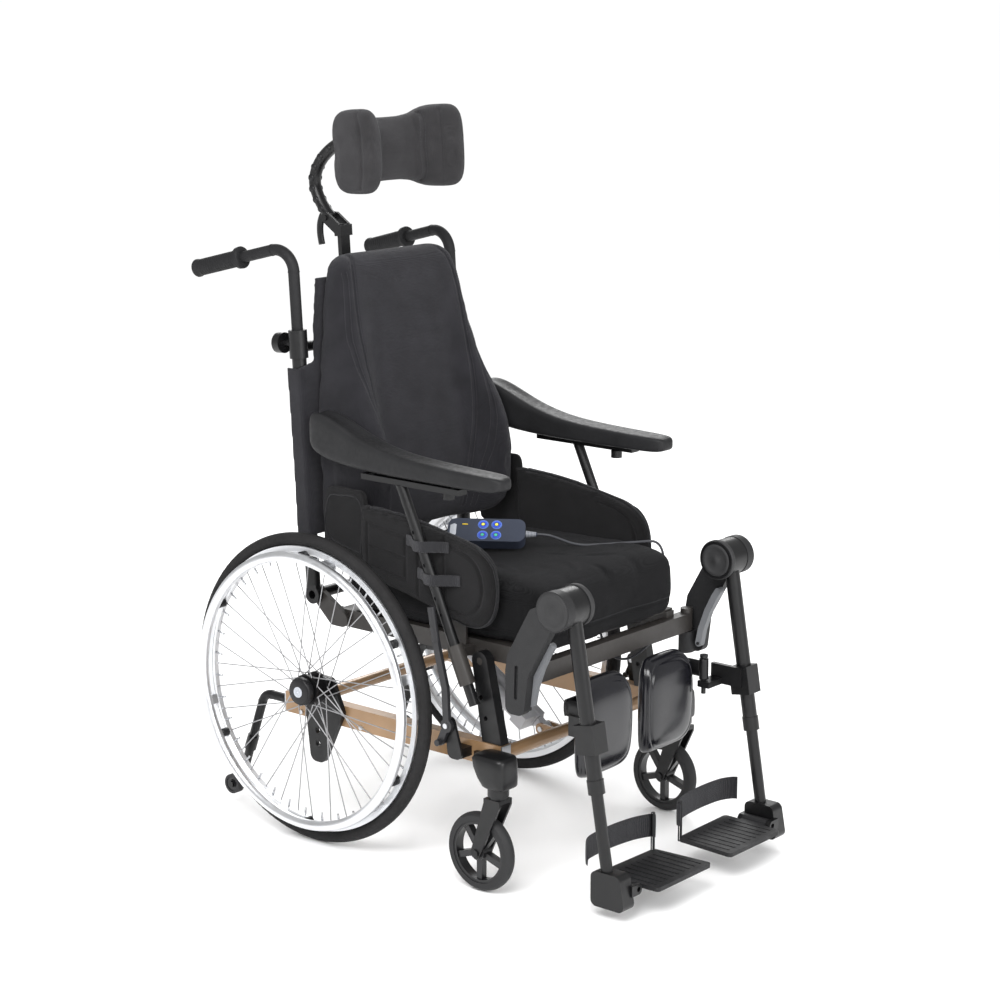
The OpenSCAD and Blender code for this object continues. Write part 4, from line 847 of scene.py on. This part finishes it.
POCKET = [(-92, 540), (-94, 600), (-94, 686), (-60, 695), (-12, 695), (8, 684), (13, 640), (13, 565), (3, 548), (-40, 541)]
STRAP = [(39, -640), (40, -632), (52, -625), (80, -616), (120, -611), (165, -610), (205, -614), (228, -624), (236, -634)]
GUARD = [(-84, 673), (-180, 669), (-270, 658), (-345, 643), (-392, 625), (-417, 594), (-424, 550), (-416, 508), (-394, 482), (-356, 474),
         (-290, 486), (-200, 508), (-110, 530), (-86, 556), (-80, 610), (-80, 656)]
for side, s in SIDES:
    # side guard
    rim_line = smooth_line([P(0, y, z) for y, z in GUARD], 4, True)
    middle = sum(rim_line, Vector()) / len(rim_line)
    loops = []
    for x, inset in ((222, 0.0105), (222.4, 0.0065), (224.5, 0.0022), (228, 0.0003), (231, 0), (234, 0.0003), (237.5, 0.0022), (239.6, 0.0065), (240, 0.0105)):
        loops.append([Vector((x * s / 1000, 0, 0)) + p + (middle - p).normalized() * inset for p in rim_line])
    guard = soften(f"side_pad_{side}", f"side_panel_{side}", M["panel"], 0.0045, (0.0035, 0.004, 0.004), 4.0, 5,
                   shape=loft(f"guard_shape_{side}", loops, M["panel"]))
    D_EDGE = [(-110, 667), (-180, 664), (-270, 653), (-343, 638), (-388, 620), (-412, 592), (-419, 550), (-411, 511), (-391, 487), (-356, 479), (-290, 491), (-200, 513)]
    D_IN = [(-300, 628), (-350, 616), (-379, 596), (-392, 560), (-386, 526), (-368, 506), (-340, 500), (-300, 508)]
    for face in (-1, 1):
        outward = Vector((s * face, 0, 0))
        edge = smooth_line([P((230 + 20 * face) * s, y, z) for y, z in D_EDGE], 8)
        inner = smooth_line([P((230 + 20 * face) * s, y, z) for y, z in D_IN], 8)
        press(guard, [inner], outward, 0.0034, 0.0035)
        pocket = [P((230 + 20 * face) * s, y, z) for y, z in ((-108, 560), (-108, 640), (-205, 626), (-205, 545), (-108, 560))]
        tucks = [[P((230 + 20 * face) * s, y, z) for y, z in line] for line in (((-108, 598), (-205, 586)), ((-236, 520), (-236, 652)), ((-300, 512), (-300, 640)))]
        if face > 0:
            press(guard, [pocket] + tucks, outward, 0.0022, 0.003)
        press(guard, [edge], outward, 0.0022, 0.003)
        along(guard, f"guard_piping_{side}_{'out' if face > 0 else 'in'}", edge[::3], outward, 0.0024, M["piping"], "seat", "panel_fabric",
              lift=0.0006, steps=3)
    finish_pad(guard, "seat")
    # rear pocket of the guard, against the back rest
    rim_line = smooth_line([P(0, y, z) for y, z in POCKET], 4, True)
    middle = sum(rim_line, Vector()) / len(rim_line)
    loops = []
    for x, inset in ((224.5, 0.005), (225, 0.0025), (227, 0.0004), (230, 0), (233, 0.0004), (235, 0.0025), (235.5, 0.005)):
        loops.append([Vector((x * s / 1000, 0, 0)) + p + (middle - p).normalized() * inset for p in rim_line])
    flap = loft(f"guard_pocket_{side}", loops, M["panel"])
    m = flap.modifiers.new("fine", "SUBSURF")
    m.levels = m.render_levels = 1
    apply_modifiers(flap)
    lay_on_edge = [P(255 * s, y, z) for y, z in ((-84, 575), (-84, 672), (-30, 680), (0, 668), (2, 600), (-84, 575))]
    tape = tube(f"pocket_piping_{side}", lay_on(flap, smooth_line(lay_on_edge, 10), Vector((s, 0, 0)), 0.0), 0.0016, M["piping"], sides=8)
    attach(flap, "seat")
    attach(tape, "seat")
    # two webbing loops that hold the guard to the armrest post
    for k, (z, y) in enumerate(((623, -263), (564, -290))):
        path = [P(d * s, y + e, z) for d, e in ((246, -52), (250, -40), (262, -24), (272.5, -12), (276, 0), (272.5, 12), (262, 24), (250, 38), (246, 52))]
        loop = tube(f"guard_loop_{side}_{k}", smooth_line(path, 5), 0.0105, M["webbing"], sides=20, wide=0.11, up=(0, 0, 1))
        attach(loop, "seat")
    # armrest pad: a moulded skin, lofted from nose to horn
    sections = [(-451, 752, 763, 10, 0.6), (-449, 748, 768, 17, 0.5), (-443, 745, 771.5, 22, 0.42), (-430, 743, 773, 25.5, 0.38), (-400, 742, 774, 27.5, 0.36),
                (-330, 742, 775.5, 28, 0.36), (-250, 742, 779, 28, 0.36), (-190, 742, 785, 28, 0.36), (-140, 743, 796, 28, 0.36), (-100, 745, 809, 28, 0.36),
                (-66, 748, 823, 28, 0.36), (-38, 752, 834, 28, 0.36), (-14, 757, 840.5, 27.5, 0.38), (4, 763, 841.5, 26, 0.42), (16, 770, 838, 22, 0.48),
                (22, 778, 831, 16, 0.55), (24.5, 788, 822, 9, 0.65)]
    loops = []
    for y, low, high, half, soft in sections:
        loop = []
        for j in range(48):
            g = math.tau * j / 48
            dish = 4.5 * math.exp(-((y + 30) / 52) ** 2) + 1.6
            across = power(math.cos(g), soft)
            z = (low + high) / 2 + (high - low) / 2 * power(math.sin(g), soft)
            if math.sin(g) > 0 and abs(across) < 0.8:
                z -= dish * math.cos(across / 0.8 * math.pi / 2) ** 2
            loop.append(P((245 + half * across) * s, y, z))
        loops.append(loop)
    arm = loft(f"armrest_cushion_{side}", loops, M["pu"])
    m = arm.modifiers.new("fine", "SUBSURF")
    m.levels = m.render_levels = 2
    apply_modifiers(arm)
    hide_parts(f"armrest_pad_{side}")
    finish_pad(arm, f"armrest_{side}")
    # calf pad: vinyl over foam, crowned towards the leg, with its bracket behind
    loops = []
    for z, half, deep, soft in ((205, 44, 9, 0.75), (208, 57, 17, 0.62), (215, 66, 24, 0.55), (228, 72, 30, 0.5), (250, 75, 34, 0.46), (300, 76, 36, 0.45),
                                (340, 75, 35, 0.46), (362, 72, 32, 0.5), (377, 65, 26, 0.55), (387, 55, 18, 0.62), (392, 41, 9, 0.75)):
        loops.append([P((96 + half * power(math.cos(math.tau * j / 56), soft)) * s,
                        -542 - deep / 2 + 1 - deep / 2 * (power(math.sin(math.tau * j / 56), 0.7) + (0.25 if math.sin(math.tau * j / 56) > 0.5 else 0)), z) for j in range(56)])
    calf = loft(f"calf_cushion_{side}", loops, M["vinyl"])
    m = calf.modifiers.new("fine", "SUBSURF")
    m.levels = m.render_levels = 2
    apply_modifiers(calf)
    press(calf, [smooth_line([P((96 + 66 * power(math.cos(math.tau * j / 24), 0.55)) * s, -600, 298 + 84 * power(math.sin(math.tau * j / 24), 0.55)) for j in range(25)], 4)],
          FRONT, 0.0022, 0.0024)
    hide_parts(f"calf_pad_{side}")
    finish_pad(calf, f"calf_{side}")
    bracket = [tube("b1", [P(x * s, -539, 348) for x in (110, 118, 176, 184)], 0.0035, M["black"], sides=16, wide=4.6, up=(0, 1, 0)),
               tube("b2", [P(181 * s, y, 348) for y in (-542, -550, -576, -584)], 0.0045, M["black"], sides=16, wide=3.6, up=(1, 0, 0)),
               tube("b3", [P(181 * s, -588, z) for z in (329, 331, 367, 369)], 0.009, M["black"], sides=28)]
    b = join(f"calf_bracket_{side}", bracket)
    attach(b, f"calf_{side}")
    # heel strap: webbing bowed behind the heel and round the leg tube
    line = smooth_line([P(x * s, y, 105) for x, y in STRAP], 6)
    strap = tube(f"heel_webbing_{side}", line, 0.0225, M["webbing"], sides=24, wide=0.055, up=(0, 0, 1))
    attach(strap, f"footplate_{side}")
    plate = NODES[f"footplate_{side}"].copy()
    plate.data = plate.data.copy()
    plate.name = f"footplate_shell_{side}"
    bpy.context.scene.collection.objects.link(plate)
    bm = bmesh.new()
    bm.from_mesh(plate.data)
    flat = [v for v in bm.verts if 0.0795 < (plate.matrix_world @ v.co).z < 0.1285 and abs((plate.matrix_world @ v.co).y - (AXLE_Y - 0.636)) < 0.0025]
    bmesh.ops.delete(bm, geom=flat, context="VERTS")
    bm.to_mesh(plate.data)
    bm.free()
    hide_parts(f"footplate_{side}")
    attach(plate, f"footplate_{side}")
    # ribbed grips
    corner, end = on_back(226 * s, 1.3, 677), on_back(247 * s, 240.6, 632)
    guard_at = corner + 0.52 * (end - corner)
    run = (end - guard_at).length * 1000
    profile = [(-2, 13), (-2, 20.5), (0, 21.6), (3, 21.6), (6, 19.5), (9, 16.6)]
    n_ribs = 16
    for k in range(n_ribs):
        d = 11 + k * (run - 22) / n_ribs
        profile += [(d, 15.4), (d + 1.6, 16.3), (d + 3.4, 16.3), (d + 4.6, 15.4)]
    profile += [(run - 8, 16.2), (run - 4, 17.6), (run, 17.8), (run + 2.4, 16.6), (run + 3.2, 13), (run + 3.2, 2)]
    grip = lathe(f"hand_grip_{side}", guard_at, end - guard_at, profile, M["grip"], 56)
    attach(grip, f"push_handle_{side}")
    # casting that joins the rail to the castor housing
    loops = []
    for z, x0, x1, y0, y1 in ((205, 250, 302, -486, -444), (208, 248, 304.5, -488, -436), (222, 247.4, 305.5, -489, -424), (240, 247.4, 305.5, -489, -414),
                              (256, 247.4, 304.5, -488, -410), (262, 249, 302, -485, -414), (264, 254, 296, -478, -420)):
        loops.append([P(((x0 + x1) / 2 + (x1 - x0) / 2 * power(math.cos(math.tau * j / 48), 0.45)) * s,
                        (y0 + y1) / 2 + (y1 - y0) / 2 * power(math.sin(math.tau * j / 48), 0.5), z) for j in range(48)])
    cast = loft(f"castor_casting_{side}", loops, M["black"])
    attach(cast, "chassis")

# headrest arm: a smooth hooked casting with rivets and a release lever
arm_path = smooth_line([on_back(0, v, w) for v, w in ((111, 712), (128, 730), (142, 752), (150, 778), (144, 804), (126, 828), (98, 848), (70, 860), (46, 866))], 6)
hook = tube("headrest_hook", arm_path, 0.0125, M["black"], sides=24, wide=0.95, up=(1, 0, 0))
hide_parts("headrest_arm")
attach(hook, "headrest_link")
teeth = [tube(f"tooth{k}", [arm_path[k] + Vector((x, 0, 0)) for x in (-0.0126, -0.0116, 0.0116, 0.0126)], 0.0072, M["case"], sides=20) for k in range(6, len(arm_path) - 8, 5)]
tooth = join("headrest_hook_rivets", teeth)
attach(tooth, "headrest_link")
lever = tube("headrest_lever", smooth_line([on_back(0, v, w) for v, w in ((122, 722), (134, 716), (142, 700), (144, 680), (141, 658))], 6), 0.0048, M["black"], sides=14, wide=1.7, up=(1, 0, 0))
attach(lever, "headrest_link")

# ---------- handset details ----------
HAND_TILT, HAND_TURN = math.radians(40), math.radians(-55)
exit_at = P(40, -290, 593)
hand_n = Vector((math.sin(HAND_TURN) * math.sin(HAND_TILT), -math.cos(HAND_TURN) * math.sin(HAND_TILT), math.cos(HAND_TILT)))
buttons = {n: sum(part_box("button_" + n), Vector()) / 2 for n in ("recline_back", "recline_up", "tilt_back", "tilt_up")}
hand_x = (buttons["recline_up"] - buttons["recline_back"]).normalized()
hand_y = hand_n.cross(hand_x).normalized()
rings = []
for n, c in buttons.items():
    base = c + hand_n * 0.0001
    rings.append(ring_lathe("ring_" + n, base, hand_n, [(-1.6, 8.05), (0.3, 8.05), (0.8, 8.5), (0.8, 9.9), (0.2, 10.4), (-1.6, 10.4)], M["ring"], 48))
ring = join("button_rings", rings)
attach(ring, "seat")
relief_parts = []
for k in range(7):
    d = -0.020 + 0.0028 * k
    radius = 0.0062 - 0.00035 * k
    relief_parts.append(tube(f"relief{k}", [exit_at + hand_x * (d + e) for e in (-0.0009, -0.0006, 0.0006, 0.0009)], radius + 0.0006, M["relief"], sides=24))
relief = join("cord_relief_ribs", relief_parts)
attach(relief, "seat")
face_at = exit_at - hand_x * 0.022 + hand_n * 0.0121
tip = loft("handset_tip", [[exit_at - hand_x * (0.022 + d) + hand_y * (0.0262 * w * power(math.cos(math.tau * j / 40), 0.35)) + hand_n * (0.0117 * t * power(math.sin(math.tau * j / 40), 0.3))
                            for j in range(40)] for d, w, t in ((0.1335, 0.86, 1.03), (0.138, 0.84, 1.04), (0.1455, 0.74, 1.03), (0.1503, 0.52, 0.9))], M["silver"])
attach(tip, "seat")
bar = tube("handset_mark", [exit_at - hand_x * (0.022 + d) + hand_n * 0.0122 + hand_y * 0.0125 for d in (0.112, 0.1135, 0.121, 0.1225)], 0.0012, M["mark"], sides=10)
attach(bar, "seat")

# ---------- legrest details ----------
for side, s in SIDES:
    knee = P(0, -590, 557)
    at = lambda x: Vector((x * s / 1000, knee.y, knee.z))
    band = ring_lathe(f"knee_band_{side}", at(218), (s, 0, 0), [(-5.5, 34), (-5.5, 37.6), (-4.5, 38.4), (3.5, 38.4), (4.5, 37.6), (4.5, 34)], M["disc"], 96)
    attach(band, f"leg_{side}")
    face = lathe(f"knee_disc_{side}", at(286), (s, 0, 0), [(-2, 34.5), (0.2, 34.5), (1.4, 33.2), (1.4, 27), (0.9, 26), (0.9, 10), (1.5, 9), (1.5, 1)], M["disc"], 72)
    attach(face, f"hanger_{side}")
    inner = lathe(f"knee_inner_{side}", at(211), (-s, 0, 0), [(-1, 31), (1.2, 31), (2.0, 30), (2.0, 24), (1.2, 23), (1.2, 6), (2.2, 5), (2.2, 1)], M["disc"], 72)
    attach(inner, f"leg_{side}")

# ---------- stage and light ----------
bpy.ops.mesh.primitive_plane_add(size=300, location=(0, 0, -0.0006))
floor = bpy.context.object
floor.name = "floor"
s = Shader("floor_paint", (0.94, 0.94, 0.94), 0.9, Specular_IOR_Level=0.0)
s.vary(s.noise(0.8, 2), (0.935, 0.935, 0.935), (0.945, 0.945, 0.945))
floor.data.materials.append(s.mat)
world = bpy.data.worlds.new("studio")
bpy.context.scene.world = world
world.use_nodes = True
world.node_tree.nodes["Background"].inputs[0].default_value = (1, 1, 1, 1)
path = world.node_tree.nodes.new("ShaderNodeLightPath")
dim = world.node_tree.nodes.new("ShaderNodeMapRange")
dim.inputs["To Min"].default_value = 1.08
dim.inputs["To Max"].default_value = 0.5
world.node_tree.links.new(path.outputs["Is Glossy Ray"], dim.inputs["Value"])
world.node_tree.links.new(dim.outputs[0], world.node_tree.nodes["Background"].inputs[1])
bpy.context.scene.view_settings.view_transform = "Standard"


def lamp(name, place, aim, size, power):
    data = bpy.data.lights.new(name, "AREA")
    data.shape = "RECTANGLE"
    data.size, data.size_y = size
    data.energy = power
    o = bpy.data.objects.new(name, data)
    o.location = place
    o.rotation_euler = (Vector(aim) - Vector(place)).to_track_quat("-Z", "Y").to_euler()
    bpy.context.scene.collection.objects.link(o)


lamp("key", (-2.6, -1.2, 3.0), (0, 0, 0.6), (2.2, 1.6), 110)
lamp("front", (-0.8, -3.8, 1.8), (0, 0, 0.6), (2.4, 1.8), 70)
lamp("rim", (2.6, 2.2, 2.6), (0, 0, 0.7), (2.4, 1.6), 70)
